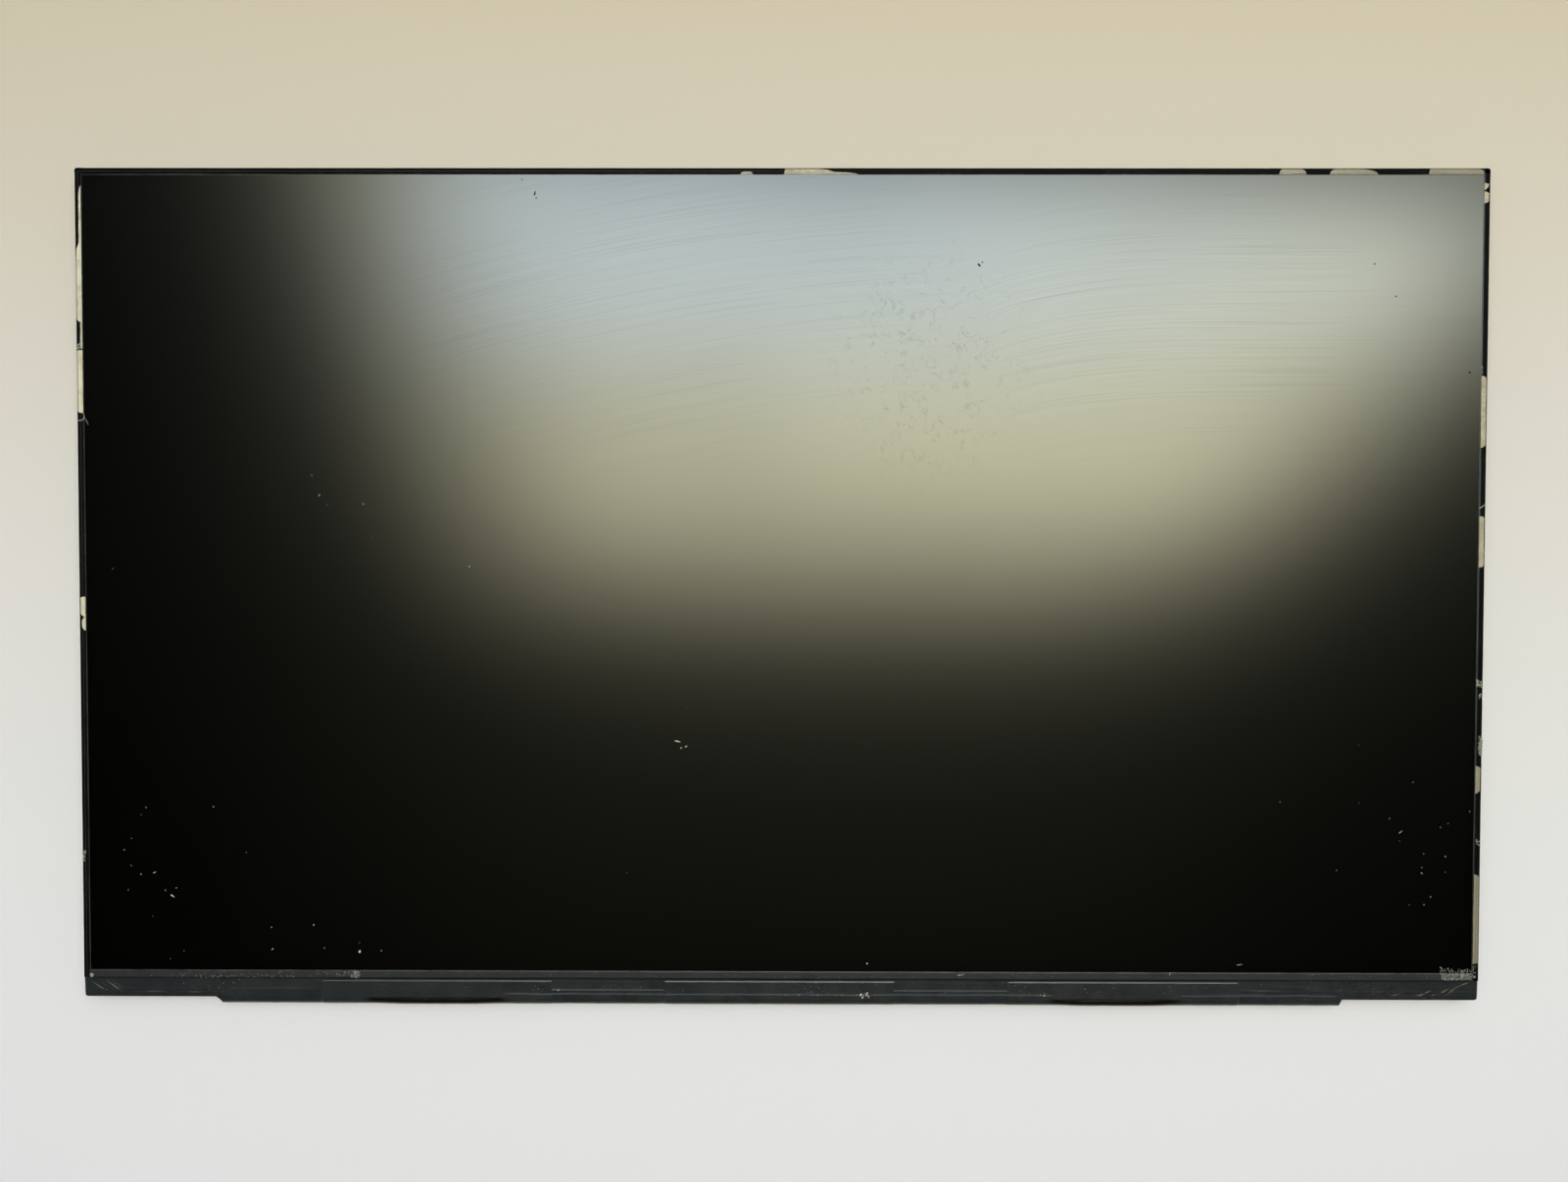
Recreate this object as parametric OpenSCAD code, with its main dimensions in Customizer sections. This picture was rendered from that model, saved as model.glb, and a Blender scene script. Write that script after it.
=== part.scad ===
// Bare 14 inch laptop screen panel: a glass display cell on its own thin backlight, with the
// driver films folded round the bottom edge to a narrow board on the rear.
// The screen faces +Z, the board's edge is towards -Y. The origin is at the centre of the
// panel's outline, on the lowest surface of the rear side. All sizes are in millimetres.

/* [Outline] */
// Width of the whole panel, over its edge tapes
panel_w = 315.8; // [300:0.1:330]
// Height of the frame, over its edge tapes and without the folded films
frame_h = 186.8; // [175:0.1:200]
// How far the folded films stand out below the frame's bottom edge
fold_reach = 1.7; // [1.05:0.05:2]
// Radius of the corners of the frame and the back plate
corner_r = 0.5; // [0.2:0.1:1]

/* [Display cell] */
// Thickness of the glass that carries the pixel transistors
tft_glass_t = 0.3; // [0.2:0.05:0.5]
// Thickness of the glass that carries the colour filters
filter_glass_t = 0.3; // [0.2:0.05:0.5]
// Thickness of the matt polariser on the front
front_polarizer_t = 0.13; // [0.1:0.01:0.2]
// Thickness of the polariser behind the glass
rear_polarizer_t = 0.12; // [0.1:0.01:0.2]
// Clearance between the glass and the wall of the frame
cell_gap = 0.15; // [0.1:0.01:0.4]
// Width of bare glass round the polariser, on the sides and the top
glass_border = 0.29; // [0.2:0.01:1]
// Width of bare filter glass below the front polariser
filter_strip = 1.78; // [1:0.02:3]
// Width of the bottom ledge of the transistor glass, where the films are bonded
ledge_w = 2.85; // [2.4:0.05:4]
// How far the rear polariser stops short of the transistor glass's bottom edge
rear_polarizer_setback = 0.25; // [0.1:0.05:1]

/* [Frame] */
// Width of the frame's wall on the sides and the top
wall_w = 1.0; // [0.8:0.05:1.6]
// Width of the frame's wall at the bottom
bottom_wall_w = 1.5; // [1.2:0.05:2]
// How far the bottom wall stays below the transistor glass's front face
bottom_wall_drop = 0.14; // [0.1:0.02:0.5]
// Chamfer along the bottom wall's outer edge
wall_chamfer = 0.15; // [0.1:0.05:0.3]
// How far the side ledges reach in below the glass
side_ledge_w = 1.5; // [1:0.1:2]
// How far the top ledge reaches in below the glass
top_ledge_w = 0.65; // [0.5:0.05:2]
// How far the bottom lip reaches in over the light sources
bottom_lip_w = 3.2; // [3:0.1:4]
// Clearance between the light guide and the bottom lip over it
lip_gap = 0.06; // [0.03:0.01:0.1]
// Thickness of the tape that holds the frame on the back plate
plate_tape_t = 0.05; // [0.03:0.01:0.1]
// Thickness of the double-sided tape that holds the glass on the frame
rim_tape_t = 0.06; // [0.04:0.01:0.1]
// How far the rim tape laps over the optical sheets
rim_tape_lap = 0.3; // [0.1:0.1:0.6]

/* [Back plate] */
// Thickness of the plate
plate_t = 0.3; // [0.25:0.05:0.5]
// Depth of the coined border, where the tapes and the board lie
coin_depth = 0.08; // [0.07:0.01:0.12]
// Width of the coined border on the sides and the top
coin_w = 5; // [4:0.5:10]
// Distance from the tapes and foils above the board to the plate's pad
coin_margin = 1; // [0.5:0.5:5]
// Thickness of the plate's folded edges
flange_t = 0.25; // [0.2:0.05:0.4]
// Height of the plate's folded edges above its coined face
flange_h = 1.1; // [0.8:0.1:1.3]
// How far the folded edges stop short of each corner
flange_relief = 2; // [1:0.5:5]
// Clearance between the folded edges and the frame
flange_gap = 0.03; // [0.02:0.01:0.1]

/* [Optical sheets] */
// Thickness of the white reflector
reflector_t = 0.15; // [0.1:0.01:0.2]
// Thickness of the light guide
guide_t = 0.55; // [0.4:0.05:0.8]
// Thickness of the lower diffuser
lower_diffuser_t = 0.1; // [0.05:0.01:0.2]
// Thickness of each prism sheet
prism_t = 0.13; // [0.06:0.01:0.2]
// Thickness of the upper diffuser
upper_diffuser_t = 0.1; // [0.05:0.01:0.2]
// Clearance round the sheets inside the frame
sheet_gap = 0.2; // [0.1:0.05:0.5]
// Distance from the frame's bottom wall to the light guide's lit edge
guide_entry = 2; // [1.9:0.05:3]

/* [Light sources] */
// Distance between two packages
led_pitch = 7.7; // [6:0.1:7.8]
// Length of a package
led_len = 3.8; // [2:0.1:4]
// Depth of a package, from its back to its lit face
led_depth = 0.6; // [0.4:0.05:0.8]
// Depth of the yellow window let into each package
window_depth = 0.15; // [0.1:0.05:0.3]
// Width of the package's rim round its window
window_rim = 0.1; // [0.05:0.05:0.15]
// Clearance between the lit faces and the light guide
led_gap = 0.05; // [0.02:0.01:0.2]
// Thickness of the flexible strip that carries the packages
led_flex_t = 0.1; // [0.08:0.01:0.1]
// Width of the flexible strip
led_flex_w = 2.6; // [2.4:0.1:3]
// Width of the strip's tail, which goes to the board
led_tail_w = 9; // [6:0.5:12]
// How far the tail's end lies on the board
led_tail_lap = 2.2; // [1:0.1:3]
// Clearance round the tail in its notch
tail_gap = 0.3; // [0.1:0.1:1]

/* [Driver films] */
// Gap between two films
film_gap = 25.8; // [20:0.1:30]
// Distance from the board's end to the nearest film
film_margin = 21.2; // [15:0.1:25]
// Thickness of a film
film_t = 0.08; // [0.04:0.01:0.1]
// How far a film reaches in over the glass ledge
film_bond = 2.1; // [1:0.1:2.6]
// How far a film laps over the board
film_lap = 1.6; // [1:0.1:2]
// Length of a driver chip
driver_chip_l = 22; // [10:1:30]
// Width of a driver chip
driver_chip_w = 1.2; // [0.8:0.1:1.4]
// Thickness of a driver chip
driver_chip_t = 0.38; // [0.2:0.02:0.42]
// Gap between a driver chip and the board's edge
driver_chip_gap = 0.35; // [0.2:0.05:0.5]

/* [Driver board] */
// Distance from the panel's side to the board's end
board_end_gap = 32.9; // [28:0.1:36]
// Height of the board, across the panel
board_h = 10.5; // [10.2:0.1:14]
// Thickness of the board
board_t = 0.5; // [0.4:0.05:0.8]
// Distance from the frame's bottom edge to the board
board_inset = 2.2; // [2:0.1:3]
// Thickness of the tape that holds the board on the plate
board_adhesive_t = 0.05; // [0.03:0.01:0.1]
// How far that tape stays inside the board's edges
board_adhesive_inset = 0.4; // [0.2:0.1:1]
// Height of the tallest chips and coils
chip_h = 0.8; // [0.5:0.05:0.85]
// Height of the small parts
small_part_h = 0.5; // [0.3:0.05:0.6]
// Distance from the films' ends on the board to the lower row of small parts
lower_row_gap = 2.2; // [1.8:0.1:3]
// Distance from the board's upper edge to the upper row of small parts
upper_row_inset = 1.8; // [1.5:0.1:2]
// Side of the timing controller
timing_chip_w = 7; // [5:0.5:7]
// Side of the power chip
power_chip_w = 4; // [3:0.5:5]
// Side of the backlight chip
backlight_chip_w = 3; // [2:0.5:4]
// Length of the memory chip
memory_chip_l = 3; // [2:0.5:4]
// Width of the memory chip
memory_chip_w = 2; // [2:0.5:3]
// Side of the buffer chip
buffer_chip_w = 3.5; // [3:0.5:4]
// Side of an inductor
inductor_w = 3; // [2:0.5:4]
// Length of a large capacitor
large_capacitor_l = 1.6; // [1:0.1:2]
// Width of a large capacitor
large_capacitor_w = 0.8; // [0.5:0.1:1.2]
// Length of a small capacitor or resistor
small_part_l = 1; // [0.6:0.1:1.6]
// Width of a small capacitor or resistor
small_part_w = 0.5; // [0.3:0.1:0.8]
// Length of a diode
diode_l = 2.5; // [1.6:0.1:3]
// Width of a diode
diode_w = 1.3; // [0.8:0.1:1.6]
// Length of the fuse
fuse_l = 2; // [1:0.1:2.5]

/* [Video connector] */
// Height of the connector, the tallest part on the rear
connector_h = 1.0; // [0.95:0.05:1.3]
// Length of the connector over its shell
connector_l = 20.6; // [19.2:0.1:21]
// Depth of the connector
connector_d = 4.2; // [3:0.1:4.5]
// Distance from the board's end to the connector's middle
connector_end_gap = 17; // [17:0.5:21]
// Length of the soldered ear at each end of the shell
ear_l = 0.8; // [0.4:0.1:1]
// Width of the soldered ears
ear_w = 1.4; // [0.8:0.1:2]
// Distance from the connector's back to the board's upper edge
connector_inset = 0.9; // [0.8:0.1:1]
// Number of contacts
contact_count = 30; // [20:1:34]
// Distance between two contacts
contact_pitch = 0.5; // [0.3:0.01:0.5]
// Width of a contact
contact_w = 0.2; // [0.12:0.02:0.25]
// Thickness of a contact
contact_t = 0.12; // [0.1:0.01:0.15]
// How far a contact's soldered end stands out behind
contact_tail = 0.6; // [0.4:0.1:0.7]
// Thickness of the metal shell
shell_t = 0.12; // [0.1:0.01:0.15]
// Height of the mouth that the cable's plug enters
mouth_h = 0.42; // [0.3:0.02:0.45]
// Depth of the mouth
mouth_d = 3; // [2:0.1:3.2]
// Room in the mouth beyond the last contact at each end
mouth_end = 1.5; // [0.8:0.1:1.8]
// Thickness of the housing's tongue floor on the board
mouth_floor = 0.2; // [0.15:0.01:0.25]

/* [Tapes] */
// Thickness of the black edge tapes
tape_t = 0.06; // [0.04:0.01:0.07]
// Clearance between the tapes and the polariser's edge
tape_gap = 0.03; // [0.02:0.01:0.1]
// How far the side and top tapes reach in over the rear
rear_flap = 3.5; // [2:0.5:3.5]
// How far the bottom tape reaches in over the films and the board on the rear
bottom_flap = 4; // [3.6:0.1:4.5]
// How far the bulge of the bottom tape goes past each end of the board
bulge_margin = 2; // [1:0.1:4]
// Thickness of the insulating film over the board
cover_film_t = 0.06; // [0.04:0.01:0.1]
// Distance from the video connector to the insulating film
cover_film_gap = 4.9; // [2:0.1:6]
// How far the insulating film laps over the end of the bottom tape
cover_film_hold = 0.3; // [0.2:0.1:0.6]
// Width of the insulating film's edge on the bottom tape
cover_film_edge = 1.2; // [0.6:0.1:1.5]
// How far the insulating film reaches onto the plate above the board
cover_film_lap = 2; // [1:0.5:3]
// Thickness of the copper foils that earth the board to the plate
foil_t = 0.05; // [0.03:0.01:0.08]
// Length of each foil
foil_l = 5; // [3:0.5:5]
// Distance from a foil to the board's end
foil_inset = 0.5; // [0.2:0.1:1]
// How far a foil laps over the board, and over the plate
foil_lap = 2; // [1:0.5:3]
// Radius of the silver dot that earths the filter glass
dot_r = 0.55; // [0.3:0.05:0.58]
// Height of the silver dot
dot_h = 0.1; // [0.07:0.01:0.15]
// Distance of the dot's middle from the filter glass's two edges
dot_inset = 0.48; // [0.45:0.01:1]
// How deep a tear in the edge tape goes down the side of the frame
tear_depth = 0.5; // [0.2:0.1:1]

/* [Hidden] */
$fn = 32;
// Overshoot of a cut past the face that it opens
cut = 1;
// Depth by which two stretches of one moulding run into each other
merge = 0.4;

// Heights, from the connector's lowest face upwards
z_board_rear = connector_h;
z_board_front = z_board_rear + board_t;
z_coined = z_board_front + board_adhesive_t;
z_pad = z_coined - coin_depth;
z_inside = z_pad + plate_t;
z_guide = z_inside + reflector_t;
z_lower_diffuser = z_guide + guide_t;
z_lower_prism = z_lower_diffuser + lower_diffuser_t;
z_upper_prism = z_lower_prism + prism_t;
z_upper_diffuser = z_upper_prism + prism_t;
z_ledge = z_upper_diffuser + upper_diffuser_t;
z_cell = z_ledge + rim_tape_t;
z_tft = z_cell + rear_polarizer_t;
z_filter = z_tft + tft_glass_t;
z_filter_top = z_filter + filter_glass_t;
z_front = z_filter_top + front_polarizer_t;
z_wall = z_front - tape_t;
z_bottom_wall = z_filter - bottom_wall_drop;

// Outline of the tapes, then of the frame inside them
out_x = panel_w / 2;
out_top = (frame_h + fold_reach) / 2;
out_bottom = out_top - frame_h;
fold_y = out_bottom - fold_reach;
frame_x = out_x - tape_t;
frame_top = out_top - tape_t;
frame_bottom = out_bottom + tape_t;

// Edges of the glass and of the polarisers
glass_x = frame_x - wall_w - cell_gap;
glass_top = frame_top - wall_w - cell_gap;
tft_bottom = frame_bottom + bottom_wall_w + cell_gap;
filter_bottom = tft_bottom + ledge_w;
polarizer_x = glass_x - glass_border;
polarizer_top = glass_top - glass_border;
polarizer_bottom = filter_bottom + filter_strip;

// Inner edges of the frame's ledges, and edges of the sheets inside them
wall_x = frame_x - wall_w;
wall_top = frame_top - wall_w;
wall_bottom = frame_bottom + bottom_wall_w;
ledge_x = wall_x - side_ledge_w;
ledge_top = wall_top - top_ledge_w;
lip_bottom = wall_bottom + bottom_lip_w;
sheet_x = ledge_x - sheet_gap;
sheet_top = ledge_top - sheet_gap;
sheet_bottom = lip_bottom + sheet_gap;
guide_bottom = wall_bottom + guide_entry;

// Light sources
led_front = guide_bottom - led_gap;
led_flex_bottom = wall_bottom + tape_gap;
led_flex_top = led_flex_bottom + led_flex_w;
reflector_bottom = led_flex_top + sheet_gap;
z_led_flex = z_guide - led_flex_t;
led_count = floor((2 * sheet_x - led_len) / led_pitch) + 1;
led_row_len = led_pitch * (led_count - 1);
window_half = led_len / 2 - 2 * window_rim;
z_window = [z_guide + window_rim, z_guide + guide_t - 2 * window_rim];

// Driver board
board_len = panel_w - 2 * board_end_gap;
board_bottom = out_bottom + board_inset;
board_top = board_bottom + board_h;
coin_bottom = board_top + max(cover_film_lap, foil_lap) + tape_gap + coin_margin;
z_chip = z_board_rear - chip_h;

// Video connector, from its mouth to its back
connector_x = connector_end_gap - board_len / 2;
connector_back = board_top - connector_inset;
connector_front = connector_back - connector_d;
contact_row_len = contact_pitch * (contact_count - 1);
z_mouth = z_board_rear - mouth_floor;

// Driver films: three of one width along the board
film_w = (board_len - 2 * film_margin - 2 * film_gap) / 3;
film_pitch = film_w + film_gap;
film_x = [-film_pitch, 0, film_pitch];
film_end = tft_bottom + film_bond;
led_tail_x = film_pitch / 2;

// Folds round the bottom edge: the tape's over a film, a film's, the tape's between two films,
// and the one of the light strip's tail
z_on_film = z_filter + film_t;
z_flap = z_board_rear - max(film_t, led_flex_t) - tape_t;
fold_r = (z_on_film + tape_t - z_flap) / 2;
fold_mid = fold_y + fold_r;
film_fold_r = (z_on_film - z_board_rear + film_t) / 2;
low_fold_r = (z_bottom_wall + tape_t - z_flap) / 2;
low_fold_mid = fold_y + low_fold_r;
tail_fold_r = (z_guide - z_board_rear + led_flex_t) / 2;

// Edges of the tapes
tape_x = polarizer_x + tape_gap;
tape_top = polarizer_top + tape_gap;
strip_edge = polarizer_bottom - tape_gap;
bulge_x = board_len / 2 + bulge_margin;
flap_end = out_bottom + bottom_flap;
film_span = film_w / 2 + tape_gap + tape_t;
dot_x = dot_inset - glass_x;
dot_y = filter_bottom + dot_inset;

// Tears in the edge tapes, each [first place, last place] along its edge
top_tears = [[0.6, 12.5], [110.9, 117.1], [122.2, 133], [144.3, 155.5]];
right_tears = [[-84.2, -63.7], [-45.7, -39.2], [5.3, 16.8], [31.8, 48.3], [86.7, 89]];
left_tears = [[-9.2, -1.7], [37.8, 53.8], [60.3, 74.3]];
tear_slant = 0.4;

// Rows of the board's parts above its lower edge, and their places along it
chip_row = (film_lap + board_h) / 2;
small_part_rows = [film_lap + lower_row_gap, board_h - upper_row_inset];
timing_x = -14;
power_x = 8;
backlight_x = 52;
memory_x = -26;
buffer_x = -56;
inductor_x = [14.5, 58];
large_capacitor_x = [20, 22.5, 25, 64, 66.5, 69, -50, -47.5];
small_capacitor_x = [-60, -44, -40, -36, -32, -6, -3.5, 30, 34, 42, 46, 78, 82, 88];
resistor_x = [-52.5, -42, -38, -34, -30, -22, 0, 3, 27, 32, 38, 44, 76, 80, 85];
diode_x = [18.2, 61.7];
fuse_x = 73;
foil_x = board_len / 2 - foil_inset - foil_l / 2;
cover_film_x = [connector_x + connector_l / 2 + ear_l + cover_film_gap,
                foil_x - foil_l / 2 - foil_inset];

// A box between two corners
module block(low, high) {
    translate(low) cube(high - low);
}

// A flat plate with round corners, between two heights
module round_plate(x, bottom, top, r, z0, z1) {
    translate([0, 0, z0]) linear_extrude(z1 - z0) {
        translate([-x + r, bottom]) square([2 * (x - r), top - bottom]);
        translate([-x, bottom + r]) square([2 * x, top - bottom - 2 * r]);
        for (sx = [-1, 1], y = [bottom + r, top - r]) translate([sx * (x - r), y]) circle(r);
    }
}

// A flat sheet from its bottom edge to its top edge, between two heights
module sheet(x, bottom, top, z0, t) {
    block([-x, bottom, z0], [x, top, z0 + t]);
}

// A section drawn as [y, z], run along X
module run_x(x0, x1) {
    translate([x0, 0, 0]) rotate([90, 0, 90]) linear_extrude(x1 - x0) children();
}

// A section drawn as [x, z], run along Y
module run_y(y0, y1) {
    translate([0, y1, 0]) rotate([90, 0, 0]) linear_extrude(y1 - y0) children();
}

// Half a disc that bulges towards -Y, as [y, z]
module half_disc(r, y, z) {
    translate([y, z]) difference() {
        circle(r);
        translate([0, -r - cut]) square([r + cut, 2 * (r + cut)]);
    }
}

// A fold of one thickness round the bottom edge, as [y, z]
module fold_section(r, t, y, z) {
    difference() {
        half_disc(r, y, z);
        translate([y, z]) circle(r - t);
    }
}

// A part soldered on the board's rear face, with its middle at x and y
module board_part(x, y, l, w, h) {
    block([x - l / 2, board_bottom + y - w / 2, z_board_rear - h],
          [x + l / 2, board_bottom + y + w / 2, z_board_rear]);
}

// Matt front polariser, glued on the filter glass
module front_polarizer() {
    color([0.03, 0.03, 0.03])
        sheet(polarizer_x, polarizer_bottom, polarizer_top, z_filter_top, front_polarizer_t);
}

// Front glass of the cell, shorter than the glass below it
module filter_glass() {
    color([0.08, 0.09, 0.09]) sheet(glass_x, filter_bottom, glass_top, z_filter, filter_glass_t);
}

// Rear glass of the cell, with the ledge for the driver films
module tft_glass() {
    color([0.1, 0.12, 0.12]) sheet(glass_x, tft_bottom, glass_top, z_tft, tft_glass_t);
}

// Polariser behind the cell
module rear_polarizer() {
    color([0.05, 0.05, 0.06])
        sheet(polarizer_x, tft_bottom + rear_polarizer_setback, polarizer_top, z_cell,
              rear_polarizer_t);
}

// Room for the plate's folded edges in the frame's outer face
module flange_rebate() {
    depth = flange_t + flange_gap;
    top = z_coined + flange_h + flange_gap;
    difference() {
        block([-frame_x - cut, frame_bottom - cut, z_inside - cut],
              [frame_x + cut, frame_top + cut, top]);
        block([-frame_x + depth, frame_bottom + depth, z_inside - 2 * cut],
              [frame_x - depth, frame_top - depth, top + cut]);
    }
}

// Room for the tail of the light strip through the bottom wall, between two heights
module tail_notch(z0, z1) {
    block([led_tail_x - led_tail_w / 2 - tail_gap, frame_bottom - cut, z0],
          [led_tail_x + led_tail_w / 2 + tail_gap, wall_bottom + cut, z1]);
}

// Cream moulded frame: a wall round the cell, a ledge that carries it, and a lip over the lights
module mold_frame() {
    z_low = z_inside + plate_tape_t;
    z_over = z_wall + cut;
    color([0.87, 0.83, 0.7]) difference() {
        union() {
            difference() {
                round_plate(frame_x, frame_bottom, frame_top, corner_r, z_low, z_wall);
                block([-wall_x, wall_bottom, z_ledge], [wall_x, wall_top, z_over]);
                block([-ledge_x, wall_bottom, z_low - cut], [ledge_x, ledge_top, z_over]);
                block([-frame_x - cut, frame_bottom - cut, z_bottom_wall],
                      [frame_x + cut, tft_bottom, z_over]);
                block([-frame_x - cut, frame_bottom - cut, z_filter],
                      [frame_x + cut, filter_bottom, z_over]);
            }
            block([-ledge_x - merge, wall_bottom - merge, z_lower_diffuser + lip_gap],
                  [ledge_x + merge, lip_bottom, z_ledge]);
        }
        run_x(-frame_x - cut, frame_x + cut) polygon([
            [frame_bottom - cut, z_bottom_wall - wall_chamfer - cut],
            [frame_bottom - cut, z_bottom_wall + cut],
            [frame_bottom + wall_chamfer + cut, z_bottom_wall + cut]
        ]);
        flange_rebate();
        tail_notch(z_low - cut, z_guide + tail_gap);
    }
}

// Black double-sided tape between the ledge and the cell
module rim_tape() {
    color([0.05, 0.05, 0.05]) difference() {
        sheet(wall_x - tape_gap, wall_bottom + tape_gap, wall_top - tape_gap, z_ledge, rim_tape_t);
        sheet(sheet_x - rim_tape_lap, sheet_bottom + rim_tape_lap, sheet_top - rim_tape_lap,
              z_ledge - cut, rim_tape_t + 2 * cut);
    }
}

module upper_diffuser() {
    color([0.93, 0.93, 0.92])
        sheet(sheet_x, sheet_bottom, sheet_top, z_upper_diffuser, upper_diffuser_t);
}

module upper_prism_sheet() {
    color([0.86, 0.88, 0.9]) sheet(sheet_x, sheet_bottom, sheet_top, z_upper_prism, prism_t);
}

module lower_prism_sheet() {
    color([0.84, 0.86, 0.88]) sheet(sheet_x, sheet_bottom, sheet_top, z_lower_prism, prism_t);
}

module lower_diffuser() {
    color([0.95, 0.95, 0.94])
        sheet(sheet_x, sheet_bottom, sheet_top, z_lower_diffuser, lower_diffuser_t);
}

// Clear plate that spreads the light from its bottom edge
module light_guide() {
    color([0.8, 0.87, 0.9]) sheet(sheet_x, guide_bottom, sheet_top, z_guide, guide_t);
}

// White film behind the light guide
module reflector() {
    color([0.97, 0.97, 0.97]) sheet(sheet_x, reflector_bottom, sheet_top, z_inside, reflector_t);
}

// Aluminium back plate: a coined border, a flat pad and four folded edges
module back_plate() {
    folded_x = frame_x - flange_relief;
    folded_y = [frame_bottom + flange_relief, frame_top - flange_relief];
    z_fold_top = z_coined + flange_h;
    color([0.68, 0.69, 0.7]) difference() {
        union() {
            round_plate(frame_x, frame_bottom, frame_top, corner_r, z_coined, z_inside);
            block([-frame_x + coin_w, coin_bottom, z_pad],
                  [frame_x - coin_w, frame_top - coin_w, z_inside]);
            for (s = [-1, 1]) block([s * frame_x - (s > 0 ? flange_t : 0), folded_y[0], z_coined],
                                    [s * frame_x + (s < 0 ? flange_t : 0), folded_y[1], z_fold_top]);
            block([-folded_x, frame_bottom, z_coined],
                  [folded_x, frame_bottom + flange_t, z_fold_top]);
            block([-folded_x, frame_top - flange_t, z_coined],
                  [folded_x, frame_top, z_fold_top]);
        }
        tail_notch(z_inside, z_fold_top + cut);
    }
}

// Thin tape that holds the frame on the plate
module plate_tape() {
    inset = flange_t + flange_gap + tape_gap;
    color([0.9, 0.9, 0.88]) difference() {
        block([-frame_x + inset, frame_bottom + inset, z_inside],
              [frame_x - inset, frame_top - inset, z_inside + plate_tape_t]);
        block([-ledge_x - tape_gap, wall_bottom - tape_gap, z_inside - cut],
              [ledge_x + tape_gap, ledge_top + tape_gap, z_inside + cut]);
        tail_notch(z_inside - cut, z_inside + cut);
    }
}

// Flexible strip of the light sources, with the tail that folds round to the board
module led_flex() {
    tail_x = [led_tail_x - led_tail_w / 2, led_tail_x + led_tail_w / 2];
    color([0.85, 0.75, 0.45]) {
        block([-sheet_x, led_flex_bottom, z_led_flex], [sheet_x, led_flex_top, z_guide]);
        block([tail_x[0], low_fold_mid, z_led_flex], [tail_x[1], led_flex_top, z_guide]);
        block([tail_x[0], low_fold_mid, z_board_rear - led_flex_t],
              [tail_x[1], board_bottom + led_tail_lap, z_board_rear]);
        run_x(tail_x[0], tail_x[1])
            fold_section(tail_fold_r, led_flex_t, low_fold_mid, z_guide - tail_fold_r);
    }
}

// Place of each light package along the row
module led_row() {
    for (i = [0 : led_count - 1]) translate([i * led_pitch - led_row_len / 2, 0, 0]) children();
}

module led_packages() {
    color([0.95, 0.95, 0.92]) led_row() difference() {
        block([-led_len / 2, led_front - led_depth, z_guide],
              [led_len / 2, led_front, z_guide + guide_t - window_rim]);
        block([-window_half, led_front - window_depth, z_window[0]],
              [window_half, led_front + cut, z_window[1]]);
    }
}

module led_windows() {
    color([0.95, 0.85, 0.2]) led_row()
        block([-window_half, led_front - window_depth, z_window[0]],
              [window_half, led_front, z_window[1]]);
}

module led_flex_tape() {
    color([0.9, 0.9, 0.85])
        block([-sheet_x, led_flex_bottom, z_inside], [sheet_x, led_flex_top, z_led_flex]);
}

// A driver film: bonded on the glass ledge, folded round the edge, soldered on the board
module driver_film(x) {
    color([0.6, 0.45, 0.2]) {
        block([x - film_w / 2, fold_mid, z_filter], [x + film_w / 2, film_end, z_on_film]);
        block([x - film_w / 2, fold_mid, z_board_rear - film_t],
              [x + film_w / 2, board_bottom + film_lap, z_board_rear]);
        run_x(x - film_w / 2, x + film_w / 2)
            fold_section(film_fold_r, film_t, fold_mid, z_on_film - film_fold_r);
    }
}

// A driver chip: on the inner face of its film, between the fold and the board
module driver_chip(x) {
    color([0.25, 0.25, 0.27])
        block([x - driver_chip_l / 2, board_bottom - driver_chip_gap - driver_chip_w, z_board_rear],
              [x + driver_chip_l / 2, board_bottom - driver_chip_gap,
               z_board_rear + driver_chip_t]);
}

module driver_film_left() { driver_film(film_x[0]); }
module driver_film_middle() { driver_film(film_x[1]); }
module driver_film_right() { driver_film(film_x[2]); }
module driver_chip_left() { driver_chip(film_x[0]); }
module driver_chip_middle() { driver_chip(film_x[1]); }
module driver_chip_right() { driver_chip(film_x[2]); }

module driver_board() {
    color([0.05, 0.3, 0.18])
        block([-board_len / 2, board_bottom, z_board_rear], [board_len / 2, board_top, z_board_front]);
}

module board_adhesive() {
    color([0.9, 0.9, 0.9])
        block([-board_len / 2 + board_adhesive_inset, board_bottom + board_adhesive_inset,
               z_board_front],
              [board_len / 2 - board_adhesive_inset, board_top - board_adhesive_inset, z_coined]);
}

module timing_chip() {
    color([0.08, 0.08, 0.09])
        board_part(timing_x, chip_row, timing_chip_w, timing_chip_w, chip_h);
}

module power_chip() {
    color([0.08, 0.08, 0.09])
        board_part(power_x, chip_row, power_chip_w, power_chip_w, chip_h);
}

module backlight_chip() {
    color([0.08, 0.08, 0.09])
        board_part(backlight_x, chip_row, backlight_chip_w, backlight_chip_w, chip_h);
}

module memory_chip() {
    color([0.08, 0.08, 0.09])
        board_part(memory_x, chip_row, memory_chip_l, memory_chip_w, small_part_h);
}

module buffer_chip() {
    color([0.08, 0.08, 0.09])
        board_part(buffer_x, chip_row, buffer_chip_w, buffer_chip_w, chip_h);
}

module inductors() {
    color([0.35, 0.34, 0.33]) for (x = inductor_x)
        board_part(x, chip_row, inductor_w, inductor_w, chip_h);
}

module large_capacitors() {
    color([0.6, 0.48, 0.35]) for (x = large_capacitor_x)
        board_part(x, chip_row, large_capacitor_w, large_capacitor_l, chip_h);
}

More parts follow.
